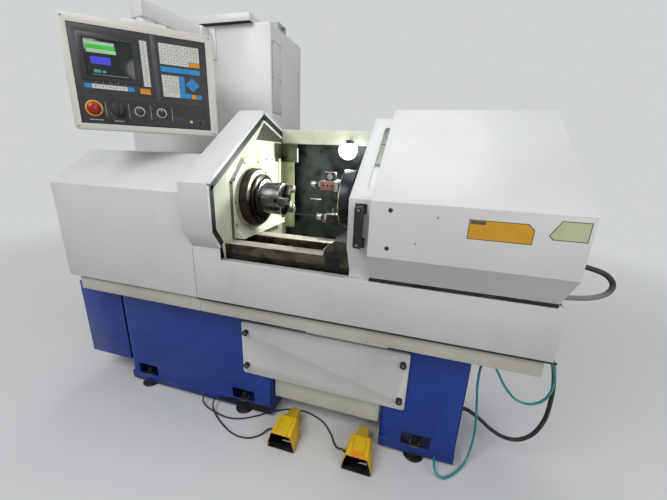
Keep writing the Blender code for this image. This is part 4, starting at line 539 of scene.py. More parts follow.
def facing(place, direction, turn=0.0):
    """The frame of something made on +Z, set at a place so that it faces a direction."""
    spin = Matrix.Rotation(turn, 4, "Z")
    return Matrix.Translation(place) @ Vector(direction).to_track_quat("Z", "Y").to_matrix().to_4x4() @ spin


def disc(name, radius, height, edge=0.0005, sides=32, hole=0.0, hole_depth=None):
    """A round made on +Z from the origin, with a rounded rim and, if asked, a hole in its top."""
    bpy.ops.object.select_all(action="DESELECT")
    bpy.ops.mesh.primitive_cylinder_add(vertices=sides, radius=radius, depth=height,
                                        location=(0, 0, height / 2))
    piece = bpy.context.active_object
    piece.name = name
    settle(piece)
    with Editing(piece, "EDGE") as edit:
        edit.pick(lambda middle, along: middle.z > height * 0.99 and abs(along.z) < 0.1)
        bpy.ops.mesh.bevel(offset=edge, segments=2, affect="EDGES")
    if hole:
        with Editing(piece) as edit:
            edit.pick(lambda middle, normal: normal.z > 0.99 and middle.z > height * 0.99)
            stepped(radius - edge - hole, (0, 0, -(hole_depth or edge)))
    return smooth(piece)


def screw_head(name, radius, height):
    """A socket screw's head with its socket and a softened rim."""
    piece = disc(name, radius, height, radius * 0.18, 20)
    with Editing(piece) as edit:
        edit.pick(lambda middle, normal: normal.z > 0.99 and middle.z > height * 0.9)
        stepped(radius * 0.38, (0, 0, -height * 0.6))
    return smooth(piece)


def copies(master, name, places):
    """Copies of a piece at many frames, joined as one piece. The master goes."""
    made = []
    for place in places:
        copy = bpy.data.objects.new(name, master.data.copy())
        scene.collection.objects.link(copy)
        copy.matrix_world = place
        made.append(settle(copy))
    bpy.data.objects.remove(master)
    choose(*made)
    if len(made) > 1:
        bpy.ops.object.join()
    made[0].name = name
    return smooth(made[0])


def place(piece, matrix):
    """Set a piece that was made at the origin into its frame."""
    piece.matrix_world = matrix @ piece.matrix_world
    return settle(piece)


def modified(piece, kind, **settings):
    """Apply one modifier."""
    modifier = piece.modifiers.new(kind.lower(), kind)
    for key, value in settings.items():
        setattr(modifier, key, value)
    choose(piece)
    bpy.ops.object.modifier_apply(modifier=modifier.name)
    return piece


def carved(piece, *tools):
    """Cut the tools out of the piece."""
    for tool in tools:
        modified(piece, "BOOLEAN", operation="DIFFERENCE", object=tool, solver="EXACT")
        bpy.data.objects.remove(tool)
    return piece


def fit(piece, body, finish, replaced=()):
    """Give a piece its finish and the body it rides on."""
    piece.data.materials.clear()
    piece.data.materials.append(finish.material)
    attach(piece, body)
    if replaced:
        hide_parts(*replaced)
    return piece


def repaint(piece, finish, test):
    """Another finish on the faces whose middle and direction pass the test."""
    piece.data.materials.append(finish.material)
    index = len(piece.data.materials) - 1
    for face in piece.data.polygons:
        if test(face.center, face.normal):
            face.material_index = index
    return piece


def block(name, low, high, finish, edge=0.0005, segments=2, body="machine"):
    """A block with rounded edges, fitted in its place."""
    return fit(box(name, low, high, edge, segments), body, finish)


def screws(name, radius, height, frames, finish, body="machine"):
    """Socket screws at many frames, fitted as one piece."""
    return fit(copies(screw_head(f"{name}_master", radius, height), name, frames), body, finish)


def rounds(name, shape, frames, finish, body="machine"):
    """Equal round parts at many frames, fitted as one piece."""
    return fit(copies(disc(f"{name}_master", *shape), name, frames), body, finish)


body_of = {node: body for body, nodes in frame["record"]["behaviour"]["bodies"].items() for node in nodes}


def eased(node, finish, edge=0.0012, segments=2, angle=35):
    """A copy of a node with its edges eased and its round faces smooth, which stands for the node."""
    piece = bpy.data.objects.new(f"{node}_shell", frame["nodes"][node].data.copy())
    scene.collection.objects.link(piece)
    with Editing(piece) as edit:
        edit.pick_all()
        bpy.ops.mesh.remove_doubles(threshold=0.00002)
        bpy.ops.mesh.dissolve_limited(angle_limit=math.radians(0.5))
    if edge:
        modified(piece, "BEVEL", width=edge, segments=segments, limit_method="ANGLE",
                 angle_limit=math.radians(angle), use_clamp_overlap=False, harden_normals=False)
    smooth(piece, angle)
    return fit(piece, body_of[node], finish, [node])


# Eased copies of the solids

sheet_edge = 0.0012
cast_edge = 0.0025
fine_edge = 0.0004
jaw_edge = 0.0022

shells = {}
for node, finish, edge in (
        ("left_plinth", blue, cast_edge), ("right_plinth", blue, cast_edge),
        ("motor_guard", blue, sheet_edge), ("spindle_motor", dark_enamel, 0),
        ("motor_pulley", casting, fine_edge), ("drive_belt", rubber, fine_edge),
        ("spindle_pulley", casting, fine_edge),
        ("bed", casting, sheet_edge), ("coolant_tray", cream, sheet_edge),
        ("front_apron", white_shaded, sheet_edge), ("headstock_cover", white, sheet_edge),
        ("guard_cowl", white, fine_edge), ("door_seal", seal_rubber_and_gap_shadow, sheet_edge),
        ("end_wall", pale_green, sheet_edge), ("rear_guard", dark_guard, sheet_edge),
        ("fixed_cover", white, sheet_edge), ("sliding_door", white, fine_edge),
        ("door_window", window_sheet, fine_edge), ("door_handle", handle_black, 0.004),
        ("headstock", casting, cast_edge), ("front_bearing", screw_steel, fine_edge),
        ("rear_bearing", screw_steel, fine_edge), ("spindle", nose_steel, sheet_edge),
        ("jaw_1", jaw_steel, jaw_edge), ("jaw_2", jaw_steel, jaw_edge), ("jaw_3", jaw_steel, jaw_edge),
        ("z_screw", screw_steel, fine_edge), ("z_motor", black, cast_edge), ("saddle", casting, cast_edge),
        ("x_screw", screw_steel, fine_edge), ("x_motor", black, sheet_edge),
        ("cross_slide", casting, cast_edge), ("turret_body", dark_enamel, 0),
        ("turret_disc", turret_steel, sheet_edge), ("boring_holder", brown_steel, sheet_edge),
        ("access_panel", white_shaded, sheet_edge), ("chip_drawer", drawer_paint, sheet_edge),
        ("cabinet", white, sheet_edge), ("cabinet_door", white, sheet_edge),
        ("cabinet_lid", white, sheet_edge), ("pendant_arm", white, sheet_edge),
        ("pendant_housing", pendant_cream, sheet_edge), ("pendant_panel", panel_black, fine_edge),
        ("pendant_screen", screen_glass, fine_edge), ("emergency_stop", red, fine_edge),
        ("mode_knob", black, fine_edge), ("feed_dial", black, fine_edge), ("speed_dial", black, fine_edge),
        ("key_switch", tool_steel, fine_edge), ("work_lamp", black, sheet_edge),
        ("left_foot_switch", yellow, sheet_edge), ("right_foot_switch", yellow, sheet_edge),
        ("left_treadle", treadle_metal, fine_edge), ("right_treadle", treadle_metal, fine_edge)):
    shells[node] = eased(node, finish, edge)

# Second finishes on parts of them

disc_radius = 0.170
nose_step = -0.030
cover_foot = 1.046
way_top = bed_high.z
repaint(shells["bed"], ways, lambda middle, normal: normal.z > 0.9 and middle.z > way_top - 0.002)
rail_low = 1.612
repaint(shells["rear_guard"], rail_cream, lambda middle, normal: middle.z > rail_low)
repaint(shells["headstock"], boss_iron, lambda middle, normal: middle.x > wall_low.x)
foot_front, foot_back = -0.471, 0.010
feet = [(x, y) for x in (-0.837, -0.108, 0.932) for y in (foot_front, foot_back)]
foot_reach = 0.060
foot_top = 0.13
gland_top = 0.06


def on_a_foot(middle, normal):
    return middle.z < foot_top and any(math.hypot(middle.x - x, middle.y - y) < foot_reach for x, y in feet)


def on_a_gland(middle, normal):
    return middle.y < plinth_low.y + 0.006 and middle.z < gland_top and normal.z != 0


for node in ("left_plinth", "right_plinth"):
    repaint(shells[node], dark_iron, on_a_foot)
    repaint(shells[node], black, on_a_gland)
for node in ("saddle", "cross_slide"):
    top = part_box(node)[1].z
    repaint(shells[node], slide_steel, lambda middle, normal: normal.z > 0.9 and middle.z > top - 0.03)
disc_face = 0.383
before_disc = disc_face - 0.0005
repaint(shells["turret_disc"], tool_steel, lambda middle, normal: middle.x < before_disc)
# Painted highlight: the eased rim of the disc's face in bright steel all round.
repaint(shells["turret_disc"], bright_steel_and_disc_highlight, lambda middle, normal: middle.x > before_disc
        and 0.2 < abs(normal.x) < 0.97
        and math.hypot(middle.y - turret_centre.y, middle.z - turret_centre.z) > disc_radius - 0.006)
repaint(shells["bed"], way_side, lambda middle, normal: normal.y < -0.9 and middle.z > way_top - 0.055)
lip_top = 0.785
# Painted shade: the tray's front wall above the lip is dark, for the gap under the apron.
repaint(shells["coolant_tray"], painted_shade_dark, lambda middle, normal: normal.y < -0.5 and middle.z > lip_top)
# Painted highlight on the top of the spindle's back plate face, painted shade below it.
repaint(shells["spindle"], back_plate, lambda middle, normal: normal.x > 0.9 and middle.x > nose_step)
# Painted shade: the fixed cover's front faces below its foot line get the dark grey finish.
repaint(shells["fixed_cover"], dark_enamel, lambda middle, normal: normal.y < -0.5 and middle.z < cover_foot)
knob_face = panel_low.y + 0.018
repaint(shells["access_panel"], black, lambda middle, normal: middle.y < knob_face - 0.0002)


# Cords, along the same points as the solids of the frame


def smooth_route(route, spacing):
    """Evenly spaced points on a smooth curve through the route's points."""
    points = [Vector(point) for point in route]
    points = [points[0] * 2 - points[1]] + points + [points[-1] * 2 - points[-2]]
    curve = []
    for before, start, end, after in zip(points, points[1:], points[2:], points[3:]):
        steps = max(1, round((end - start).length / spacing))
        for step in range(steps):
            share = step / steps
            a = (end - before) * 0.5
            b = (after - start) * 0.5
            rest = end - start
            cubic = a + b - rest * 2
            square = rest * 3 - a * 2 - b
            curve.append(start + a * share + square * share ** 2 + cubic * share ** 3)
    curve.append(points[-2])
    return curve


def cord(node, leaves, enters, route, radius, finish):
    """A cord that goes straight out of one fitting and straight into the other."""
    lead = radius * 2 * 1.6
    ends = [(Vector(at), Vector(heading)) for at, heading in (leaves, enters)]
    straights = [(at, at + heading * lead) for at, heading in ends]
    whole = list(straights[0]) + list(route) + list(straights[1])[::-1]
    points = smooth_route(whole, radius * 1.5)
    curve = bpy.data.curves.new(f"{node}_line", "CURVE")
    curve.dimensions = "3D"
    curve.bevel_depth = radius
    curve.bevel_resolution = 4
    curve.use_fill_caps = True
    spline = curve.splines.new("POLY")
    spline.points.add(len(points) - 1)
    for spot, point in zip(spline.points, points):
        spot.co = (*point, 1)
    spline.use_smooth = True
    curve.materials.append(finish.material)
    piece = bpy.data.objects.new(f"{node}_line", curve)
    scene.collection.objects.link(piece)
    length = sum((last - first).length for first, last in zip(points, points[1:]))
    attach(piece, "machine")
    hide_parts(node)
    return piece


plinth_front = -0.485
port_length = 0.016
sole_exit = plinth_front - 0.008 - 0.012 - seam
port_exit = 1.373 + port_length + seam
gland_height = 0.045
left_gland_x, right_gland_x, tube_gland_x = -0.298, -0.378, 1.036
left_pedal_x, right_pedal_x = 0.233, 0.653
pedal_reach = 0.078 + 0.012 + seam
pedal_entry_y, pedal_entry_z = -0.5805, 0.0176
cord("left_pedal_cable", ((left_gland_x, sole_exit, gland_height), FORWARD),
     ((left_pedal_x - pedal_reach, pedal_entry_y, pedal_entry_z), LEFT), [
    (-0.286, -0.550, 0.030), (-0.258, -0.577, 0.020), (-0.213, -0.605, 0.0085),
    (-0.154, -0.636, 0.0055), (-0.088, -0.664, 0.0055), (-0.023, -0.676, 0.0055),
    (0.042, -0.664, 0.0055), (0.087, -0.630, 0.0070), (0.108, -0.596, 0.0120),
], 0.0045, cable_black)
cord("right_pedal_cable", ((right_gland_x, sole_exit, gland_height), FORWARD),
     ((right_pedal_x - pedal_reach, pedal_entry_y, pedal_entry_z), LEFT), [
    (-0.360, -0.542, 0.022), (-0.313, -0.556, 0.0065), (-0.233, -0.574, 0.0055),
    (-0.154, -0.581, 0.0055), (-0.078, -0.562, 0.0055), (-0.005, -0.518, 0.0055),
    (0.082, -0.450, 0.0055), (0.172, -0.404, 0.0055), (0.282, -0.392, 0.0055),
    (0.392, -0.428, 0.0055), (0.462, -0.490, 0.0055), (0.502, -0.548, 0.0070),
    (0.525, -0.577, 0.0140),
], 0.0045, cable_black)
port_height = 0.7475
cord("coolant_tube", ((port_exit, -0.450, port_height), RIGHT),
     ((tube_gland_x, sole_exit, gland_height), FORWARD), [
    (1.444, -0.449, 0.724), (1.480, -0.447, 0.655), (1.492, -0.445, 0.565), (1.472, -0.440, 0.490),
    (1.422, -0.434, 0.450), (1.367, -0.428, 0.455), (1.317, -0.420, 0.500), (1.277, -0.412, 0.562),
    (1.242, -0.404, 0.622), (1.214, -0.398, 0.630), (1.196, -0.396, 0.580), (1.196, -0.398, 0.480),
    (1.208, -0.400, 0.380), (1.220, -0.402, 0.280), (1.228, -0.404, 0.180), (1.224, -0.412, 0.090),
    (1.206, -0.440, 0.030), (1.172, -0.490, 0.0095), (1.122, -0.545, 0.0075), (1.077, -0.575, 0.012),
    (1.044, -0.566, 0.030),
], 0.006, tube_teal)
cord("drain_hose", ((port_exit, -0.300, port_height), RIGHT),
     ((1.137 + port_length + seam, -0.350, 0.265), RIGHT), [
    (1.484, -0.304, 0.702), (1.527, -0.309, 0.620), (1.550, -0.318, 0.520), (1.556, -0.328, 0.410),
    (1.548, -0.338, 0.300), (1.512, -0.346, 0.205), (1.452, -0.351, 0.153), (1.382, -0.352, 0.148),
    (1.312, -0.352, 0.180), (1.254, -0.351, 0.225),
], 0.010, rubber)
conduit_y = -0.260
cord("conduit", ((1.363 + port_length + seam, conduit_y, 1.120), RIGHT),
     ((1.393 + port_length + seam, conduit_y, 0.945), RIGHT), [
    (1.492, conduit_y, 1.118), (1.582, conduit_y, 1.106), (1.656, conduit_y, 1.082),
    (1.692, conduit_y, 1.038), (1.678, conduit_y, 0.992), (1.622, conduit_y, 0.963),
    (1.542, conduit_y, 0.950),
], 0.012, conduit_sheath)


# Chuck: a round body with a bore, a rim painted bright as a highlight, the jaws' slots, mounting screws and two
# painted highlight lines

chuck_radius = 0.087
chuck_face = chuck_high.x
chuck_length = chuck_face - chuck_low.x
rim_width = 0.022
rim_step = 0.0015
bore_margin = 0.034
bore_depth = 0.045
chuck = disc("chuck_round", chuck_radius, chuck_length, 0.0035, 96)
with Editing(chuck) as edit:
    edit.pick(lambda middle, normal: normal.z > 0.99 and middle.z > chuck_length * 0.99)
    bpy.ops.mesh.inset(thickness=rim_width)
    stepped(rim_step, (0, 0, -rim_step))
    stepped(bore_margin, (0, 0, -bore_depth))
place(chuck, facing((chuck_low.x, spindle_centre.y, spindle_centre.z), RIGHT))
jaw_angles = [math.radians(30 + 120 * index) for index in range(3)]
slot_foot = 0.012
slot_reach = chuck_radius + 0.02
slot_tools = []
for index, angle in enumerate(jaw_angles):
    turned = Matrix.Translation(spindle_centre) @ Matrix.Rotation(-angle, 4, "X")
    for name, start, end, half in (("slot", -0.012, 0.02, 0.0153), ("under", -0.024, -0.010, 0.009)):
        tool = box(f"{name}_tool_{index}", (chuck_face + start, -half, slot_foot),
                   (chuck_face + end, half, slot_reach), 0.0001, 1)
        slot_tools.append(place(tool, turned))
carved(chuck, *slot_tools)
smooth(chuck)
fit(chuck, "spindle", chuck_steel, ["chuck_body"])
# Painted highlight: the eased rim of the chuck's face in bright steel all round.
repaint(chuck, chuck_bright_and_rim_highlight, lambda middle, normal: 0.05 < normal.x < 0.97
        and math.hypot(middle.y - spindle_centre.y, middle.z - spindle_centre.z) > chuck_radius - 0.006)


def round_spindle(radius, angle, x):
    """A place round the spindle line."""
    return Vector((x, spindle_centre.y + radius * math.sin(angle),
                   spindle_centre.z + radius * math.cos(angle)))


screws("chuck_screws", 0.0055, 0.004,
       [facing(round_spindle(0.048, angle + math.radians(turn), chuck_face - 0.003), RIGHT)
        for angle in jaw_angles for turn in (40, 80)], chuck_bright_and_rim_highlight, "spindle")
# Two painted highlights: thin bright strips along the chuck's side.
for name, length, turn in (("chuck_long_highlight", 0.078, -50), ("chuck_short_highlight", 0.046, -80)):
    line = box(name, (0, -0.0011, -0.0004), (length, 0.0011, 0.0004), 0.0002, 1)
    fit(place(line, Matrix.Translation((chuck_low.x + 0.006, spindle_centre.y, spindle_centre.z))
              @ Matrix.Rotation(-math.radians(turn), 4, "X") @ Matrix.Translation((0, 0, chuck_radius))),
        "spindle", jaw_bright_and_highlight)

# Jaws: bright fronts, painted highlights on their eased edges, and two screws each in a bright seat

jaw_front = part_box("jaw_1")[1].x
jaw_screw_radii = (0.055, 0.072)
for index, angle in enumerate(jaw_angles):
    body = f"jaw_{index + 1}"
    turned = Matrix.Translation(spindle_centre) @ Matrix.Rotation(-angle, 4, "X")
    upright = turned.to_3x3().transposed()
    # Bright fronts, and painted highlights on every eased edge of the jaws.
    repaint(shells[body], jaw_bright_and_highlight, lambda middle, normal: normal.x > 0.5
            or max(abs(share) for share in upright @ normal) < 0.97)
    heads, rings = ([turned @ facing((jaw_front - sunk, 0, radius), RIGHT) for radius in jaw_screw_radii]
                    for sunk in (0.0008, 0.0002))
    screws(f"{body}_screws", 0.0052, 0.0024, heads, dark_iron, body)
    rounds(f"{body}_seats", (0.0068, 0.0006, 0.0002, 24, 0.0054, 0.0005), rings, chuck_bright_and_rim_highlight, body)

# Boss: a screwed bearing cap round the spindle nose

boss_right = -0.065
cap_inner = 0.1295
cap_outer = 0.152
cap_thickness = 0.006
cap = disc("bearing_cap", cap_outer, cap_thickness, 0.001, 96)
carved(cap, place(disc("cap_tool", cap_inner, 0.02, 0.0001, 96), Matrix.Translation((0, 0, -0.007))))
place(cap, facing((boss_right, spindle_centre.y, spindle_centre.z), RIGHT))
# The cap's finish is painted light on its top and painted shade below, partly oil.
fit(smooth(cap), "machine", cap_ring)
cap_screw_seat = boss_right + cap_thickness - 0.0005
screws("cap_screws", 0.0045, 0.0035,
       [facing(round_spindle(0.141, math.radians(20 + 30 * step), cap_screw_seat), RIGHT)
        for step in range(12)], dark_iron)

# End wall: screws of the bolted plate and the deflector, the cowl's rim and seal, and the groove and the recess
# as dark strips and sheets of painted shade

plate_face = -0.107
plate_screws = [(-0.3618, 1.4965), (-0.2150, 1.4968), (-0.1111, 1.5120), (-0.4600, 1.4150), (-0.4600, 1.2973),
                (-0.4600, 1.1780), (-0.3420, 1.1720), (-0.2375, 1.1720), (-0.1290, 1.1720), (0.0230, 1.5050),
                (0.0230, 1.3400), (0.0230, 1.1800)]
screws("plate_screws", 0.0050, 0.0032, [facing((plate_face - 0.0004, y, z), RIGHT) for y, z in plate_screws],
       dark_iron)


def strips(name, path, near, far, left, right, finish, lap=0.0):
    """Flat strips along an outline of the wall, between two distances inside it."""
    made = []
    for index, (start, end) in enumerate(zip(path, path[1:])):
        along = Vector((0, end[0] - start[0], end[1] - start[1]))
        before, after = lap * (index > 0), lap * (index < len(path) - 2)
        strip = box(name, (left, -before, -far), (right, along.length + after, -near), 0.0001, 1)
        made.append(place(strip, Matrix.Translation((0, *start))
                          @ Matrix.Rotation(math.atan2(along.z, along.y), 4, "X")))
    choose(*made)
    bpy.ops.object.join()
    made[0].name = name
    return fit(smooth(made[0]), "machine", finish)


def cut_sheet(name, low, high, corners, finish, edge=0.0002):
    """A thin sheet with its corners cut along lines, each given by a point and the way that is cut off."""
    sheet = box(name, low, high, edge, 1)
    for point, away in corners:
        with Editing(sheet) as edit:
            edit.pick_all()
            bpy.ops.mesh.bisect(plane_co=point, plane_no=away, use_fill=True, clear_outer=True)
    return fit(smooth(sheet), "machine", finish)


cowl_line = [(-0.670, 1.177), (-0.670, 1.409), (-0.123, 1.781), (0.159, 1.688)]
foot_line = [(-0.610, 1.089), (-0.670, 1.177)]
wall_face = -0.112
in_wall = wall_face - 0.0004
strips("cowl_rim", foot_line + cowl_line[1:], 0.0012, 0.0150, -0.1112, -0.1104, white)
strips("seal_lip", foot_line + cowl_line[1:], 0.0300, 0.0460, in_wall, wall_face + 0.0008, seal_rubber_and_gap_shadow)
groove_line = [(-0.4747, 1.000), (-0.4747, 1.396), (-0.3600, 1.5105)]
# Painted shade: flat dark strips along the groove round the bolted plate.
strips("plate_groove_shadow", groove_line, -0.0230, 0.0, in_wall, wall_face + 0.0006, olive_and_groove_shade, 0.0095)
low_left = Vector((0, -0.2214, 1.6182))
apex = Vector((0, -0.1263, 1.7172))
low_right = Vector((0, 0.1092, 1.640))
# A pale lip round a dark sheet under the cowl's apex; the dark sheet is painted shade.
for name, grow, thickness, finish in (("recess_lip", 0.009, 0.0010, pale_green),
                                      ("recess", 0.0, 0.0016, painted_shade_dark)):
    cut_sheet(name, (in_wall, low_left.y - 0.03, low_left.z - grow),
              (wall_face + thickness, low_right.y, apex.z + 0.02),
              [(low_left + Vector((0, -grow, grow)), (0, low_left.z - apex.z, apex.y - low_left.y)),
               (apex + Vector((0, 0, grow)), (0, apex.z - low_right.z, low_right.y - apex.y))], finish)

# Corner post with a channel painted dark as shade, pale panel and hanging shield at the back of the working area,
# and a dark shield side of painted shadow

post_face = -0.092
channel_near, channel_far = 0.050, 0.110
post = box("corner_post", (wall_face, 0.040, 1.112), (post_face, 0.122, 1.520), 0.0015)
carved(post, box("post_channel_tool", (post_face - 0.012, channel_near, 1.128),
                 (post_face + 0.01, channel_far, 1.530), 0.001, 1))
fit(smooth(post), "machine", pale_green)


def in_channel(middle, normal):
    return channel_near + 0.001 < middle.y < channel_far - 0.001 and middle.x < post_face - 0.005


# Painted shade: the post's channel in olive, darkest at its foot.
repaint(post, olive_and_groove_shade, in_channel)
repaint(post, painted_shade_dark, lambda middle, normal: in_channel(middle, normal) and middle.z < 1.2)
block("pale_back_panel", (-0.1090, rear_low.y - 0.006, 1.060), (-0.022, rear_low.y, 1.520), back_green, 0.001)
shield_top = 1.6125
shield = box("hanging_shield", (-0.1080, 0.094, 1.500), (0.004, 0.110, shield_top), 0.001)
carved(shield, box("shield_tool", (-0.1060, 0.096, 1.4), (0.002, 0.2, shield_top - 0.002), 0.0001, 1))
fit(smooth(shield), "machine", shield_olive_and_shadow)
# Painted shadow: a dark piece along the wall beside the hanging shield.
block("shield_shadow_side", (-0.1066, 0.002, 1.500), (-0.1040, 0.0938, shield_top), shield_olive_and_shadow, 0.0006)
block("shield_edge", (0.0035, 0.0925, 1.499), (0.0058, 0.1115, 1.585), rail_cream, 0.0004)
block("shield_hem", (-0.1080, 0.0925, 1.497), (0.0058, 0.0955, 1.5012), olive_and_groove_shade, 0.0004)
block("guard_ledge", (-0.020, rear_low.y - 0.012, 1.150), (cover_low.x + 0.02, rear_low.y, 1.158),
      dark_guard, 0.0015)

# Door: caps, screws and flanges of its handle, and the window's bars

handle_low, handle_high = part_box("door_handle")
handle_x = (handle_low.x + handle_high.x) / 2
cap_inset = 0.015
cap_heights = (handle_low.z + cap_inset, handle_high.z - cap_inset)
rounds("handle_caps", (0.0105, 0.0016, 0.0007, 28, 0.0062, 0.0012),
       [facing((handle_x, handle_low.y + 0.0002, z), FORWARD) for z in cap_heights], handle_black, "door")
screws("handle_screws", 0.0052, 0.0016,
       [facing((handle_x, handle_low.y - 0.0004, z), FORWARD) for z in cap_heights], zinc, "door")
flange_edge = 0.006
flange_half = 0.021
handle_flange = box("handle_flange", (handle_low.x - flange_edge, handle_high.y - 0.0055, -flange_half),
                    (handle_high.x + flange_edge, handle_high.y, flange_half), 0.0024, 3)
fit(copies(handle_flange, "handle_flanges", [Matrix.Translation((0, 0, z)) for z in cap_heights]),
    "door", handle_black)
window_low, window_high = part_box("door_window")
window_rise = (window_high.z - window_low.z) / (window_high.y - window_low.y)
for name, height in (("window_low_bar", 1.512), ("window_high_bar", 1.604)):
    bar = box(name, (window_low.x + 0.014, -0.0018, 0.0), (window_high.x - 0.014, 0.0018, 0.0032), 0.0005, 1)
    y = window_low.y + (height - window_low.z) / window_rise
    tilt = Matrix.Rotation(math.atan(window_rise), 4, "X")
    fit(place(bar, Matrix.Translation((0, y, height + 0.0052)) @ tilt), "door", olive_and_groove_shade)

# Front apron: a dark rubber strip under its edge, painted shadow of the gap above the lip, and the joint lines at
# its left end, on it and on the lip

joint_end = 0.002
# Painted shadow: a thin dark strip just under the apron's edge.
block("apron_shadow_strip", (apron_low.x + joint_end, apron_low.y + 0.0008, apron_low.z - 0.0095),
      (apron_high.x - joint_end, apron_low.y + 0.0060, apron_low.z - 0.0002), seal_rubber_and_gap_shadow, 0.0008)
for name, y, low, high in (("apron_joint", apron_low.y, apron_low.z, apron_high.z),
                           ("lip_joint", tray_low.y, tray_low.z, lip_top)):
    block(name, (apron_low.x - 0.0013, y - 0.0003, low + joint_end),
          (apron_low.x + 0.0003, y + 0.0010, high - joint_end), mark_dark_and_shadow, 0.0002, 1)

# Fixed cover: two plugs, two small screws and two bare plates

cover_front = cover_low.y
rounds("cover_plugs", (0.0085, 0.002, 0.001, 24),
       [facing((x, cover_front, z), FORWARD) for x, z in ((0.710, 1.364), (0.708, 1.215))], black)
screws("cover_screws", 0.0032, 0.0016,
       [facing((x, cover_front, z), FORWARD) for x, z in ((0.880, 1.350), (0.812, 1.245))], zinc)


def bare_plate(name, low, high, corners, finish):
    """A thin bare plate on the cover's front with a rim line and cut corners."""
    for part, inset, depth, colour in ((f"{name}_rim", 0.0, 0.0005, plate_rim),
                                       (name, 0.0028, 0.0009, finish)):
        cuts = []
        for (x, z), (way_x, way_z) in corners:
            way = Vector((way_x, 0, way_z)).normalized()
            cuts.append((Vector((x, cover_front, z)) - way * inset, way))
        cut_sheet(part, (low[0] + inset, cover_front - depth, low[1] + inset),
                  (high[0] - inset, cover_front, high[1] - inset), cuts, colour)


bare_plate("amber_plate", (0.986, 1.285), (1.193, 1.356), [((1.172, 1.3555), (0.65, 0.76))], plate_amber)
bare_plate("pale_plate", (1.237, 1.309), (1.3515, 1.3757), [((1.266, 1.3755), (-0.875, 0.485)),
                                                            ((1.2364, 1.323), (-0.72, -0.69))], plate_pale)
block("amber_plate_field", (0.991, cover_front - 0.0011, 1.3400), (1.040, cover_front, 1.3520),
      plate_rim, 0.0002, 1)

# Access panel: rims and metal centres of its knobs

knob_side = 0.030
knob_rise = 0.060
knobs = [(x, z) for x in (panel_low.x + knob_side, panel_high.x - knob_side)
         for z in (panel_low.z + knob_rise, panel_high.z - knob_rise)]
rounds("panel_knob_rims", (0.0165, 0.003, 0.001, 24, 0.012, 0.0015),
       [facing((x, panel_low.y + 0.0005, z), FORWARD) for x, z in knobs], black)
screws("panel_knob_centres", 0.0060, 0.0030, [facing((x, panel_low.y, z), FORWARD) for x, z in knobs], zinc)

# Levelling feet: nuts and washers round the bolts

rounds("foot_nuts", (0.022, 0.016, 0.002, 6), [Matrix.Translation((x, y, 0.076)) for x, y in feet], dark_iron)
rounds("foot_washers", (0.028, 0.003, 0.0008, 28),
       [Matrix.Translation((x, y, 0.0755 - 0.003)) for x, y in feet], zinc)

# Cabinet: front panels, side plate with screws, gland box, and the rear door's locks and louvres

panel_seam = -0.628
half_seam = 0.002
for name, left, right in (("left", cabinet_low.x + 0.004, panel_seam - half_seam),
                          ("right", panel_seam + half_seam, cabinet_high.x - 0.004)):
    block(f"cabinet_{name}_panel", (left, cabinet_face - 0.0025, 0.112),
          (right, cabinet_face + 0.001, cabinet_high.z - 0.004), white, 0.0010)
side = cabinet_high.x
plate_near, plate_far, plate_foot, plate_head = 0.196, 0.320, 1.815, 2.235
# Painted shadow: a thin dark frame round the side plate.
block("side_plate_shadow_line", (side - 0.001, plate_near - 0.003, plate_foot - 0.004),
      (side + 0.0006, plate_far + 0.002, plate_head + 0.004), mark_dark_and_shadow, 0.0003, 1)
block("cabinet_side_plate", (side - 0.001, plate_near, plate_foot), (side + 0.002, plate_far, plate_head),
      white, 0.0008)
screws("cabinet_side_screws", 0.0045, 0.0025,
       [facing((side + 0.0018, y, z), RIGHT) for y in (plate_near + 0.010, plate_far - 0.010)
        for z in (plate_foot + 0.015, (plate_foot + plate_head) / 2, plate_head - 0.015)], zinc)
box_low, box_high = Vector((-0.262, 0.300, 2.3298)), Vector((-0.216, 0.420, 2.3725))
block("supply_gland_box", box_low, box_high, gland_grey, 0.003)
fit(place(disc("supply_gland", 0.012, 0.014, 0.002, 6, 0.007, 0.010),
          facing((box_high.x - 0.0005, 0.360, 2.351), RIGHT)), "machine", zinc)
rear_door_low, rear_door_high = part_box("cabinet_door")
door_back = rear_door_high.y
rounds("cabinet_locks", (0.014, 0.006, 0.002, 32, 0.006, 0.004),
       [facing((rear_door_low.x + 0.045, door_back - 0.0002, z), BACKWARD) for z in (0.45, 1.20, 1.95)],
       zinc, "cabinet_door")
louvre = box("louvre", (-0.11, -0.004, -0.004), (0.11, 0.010, 0.004), 0.0018)
louvre_tilt = Matrix.Rotation(math.radians(-35), 4, "X")
fit(copies(louvre, "cabinet_louvres",
           [Matrix.Translation((-0.520, door_back, 0.30 + 0.024 * step)) @ louvre_tilt for step in range(8)]),
    "cabinet_door", white)

# Work lamp's lens

lamp_axis_y = lamp_low.y + 0.046
lamp_middle = Vector(((lamp_low.x + lamp_high.x) / 2, lamp_axis_y, lamp_low.z + 0.030))
bpy.ops.object.select_all(action="DESELECT")
bpy.ops.mesh.primitive_uv_sphere_add(segments=48, ring_count=24, radius=0.056, location=(0, 0, 0))
glass = bpy.context.active_object
glass.name = "lamp_glass"
with Editing(glass) as edit:
    edit.pick_all()
    bpy.ops.mesh.bisect(plane_co=(0, 0, 0.034), plane_no=(0, 0, 1), use_fill=True, clear_outer=True)
fit(smooth(place(glass, Matrix.Translation(lamp_middle))), "machine", glow_lamp)
repaint(shells["work_lamp"], glow_lamp, lambda middle, normal: middle.z < lamp_low.z + 0.046
        and middle.y < lamp_axis_y + 0.050)

# Tools: collars, tips and clamp screws of the three holders

station_radius = 0.128


def station(angle_degrees, x):
    """The middle of a holder at its angle on the disc."""
    angle = math.radians(angle_degrees)
    return Vector((x, turret_centre.y + station_radius * math.cos(angle),
                   turret_centre.z + station_radius * math.sin(angle)))


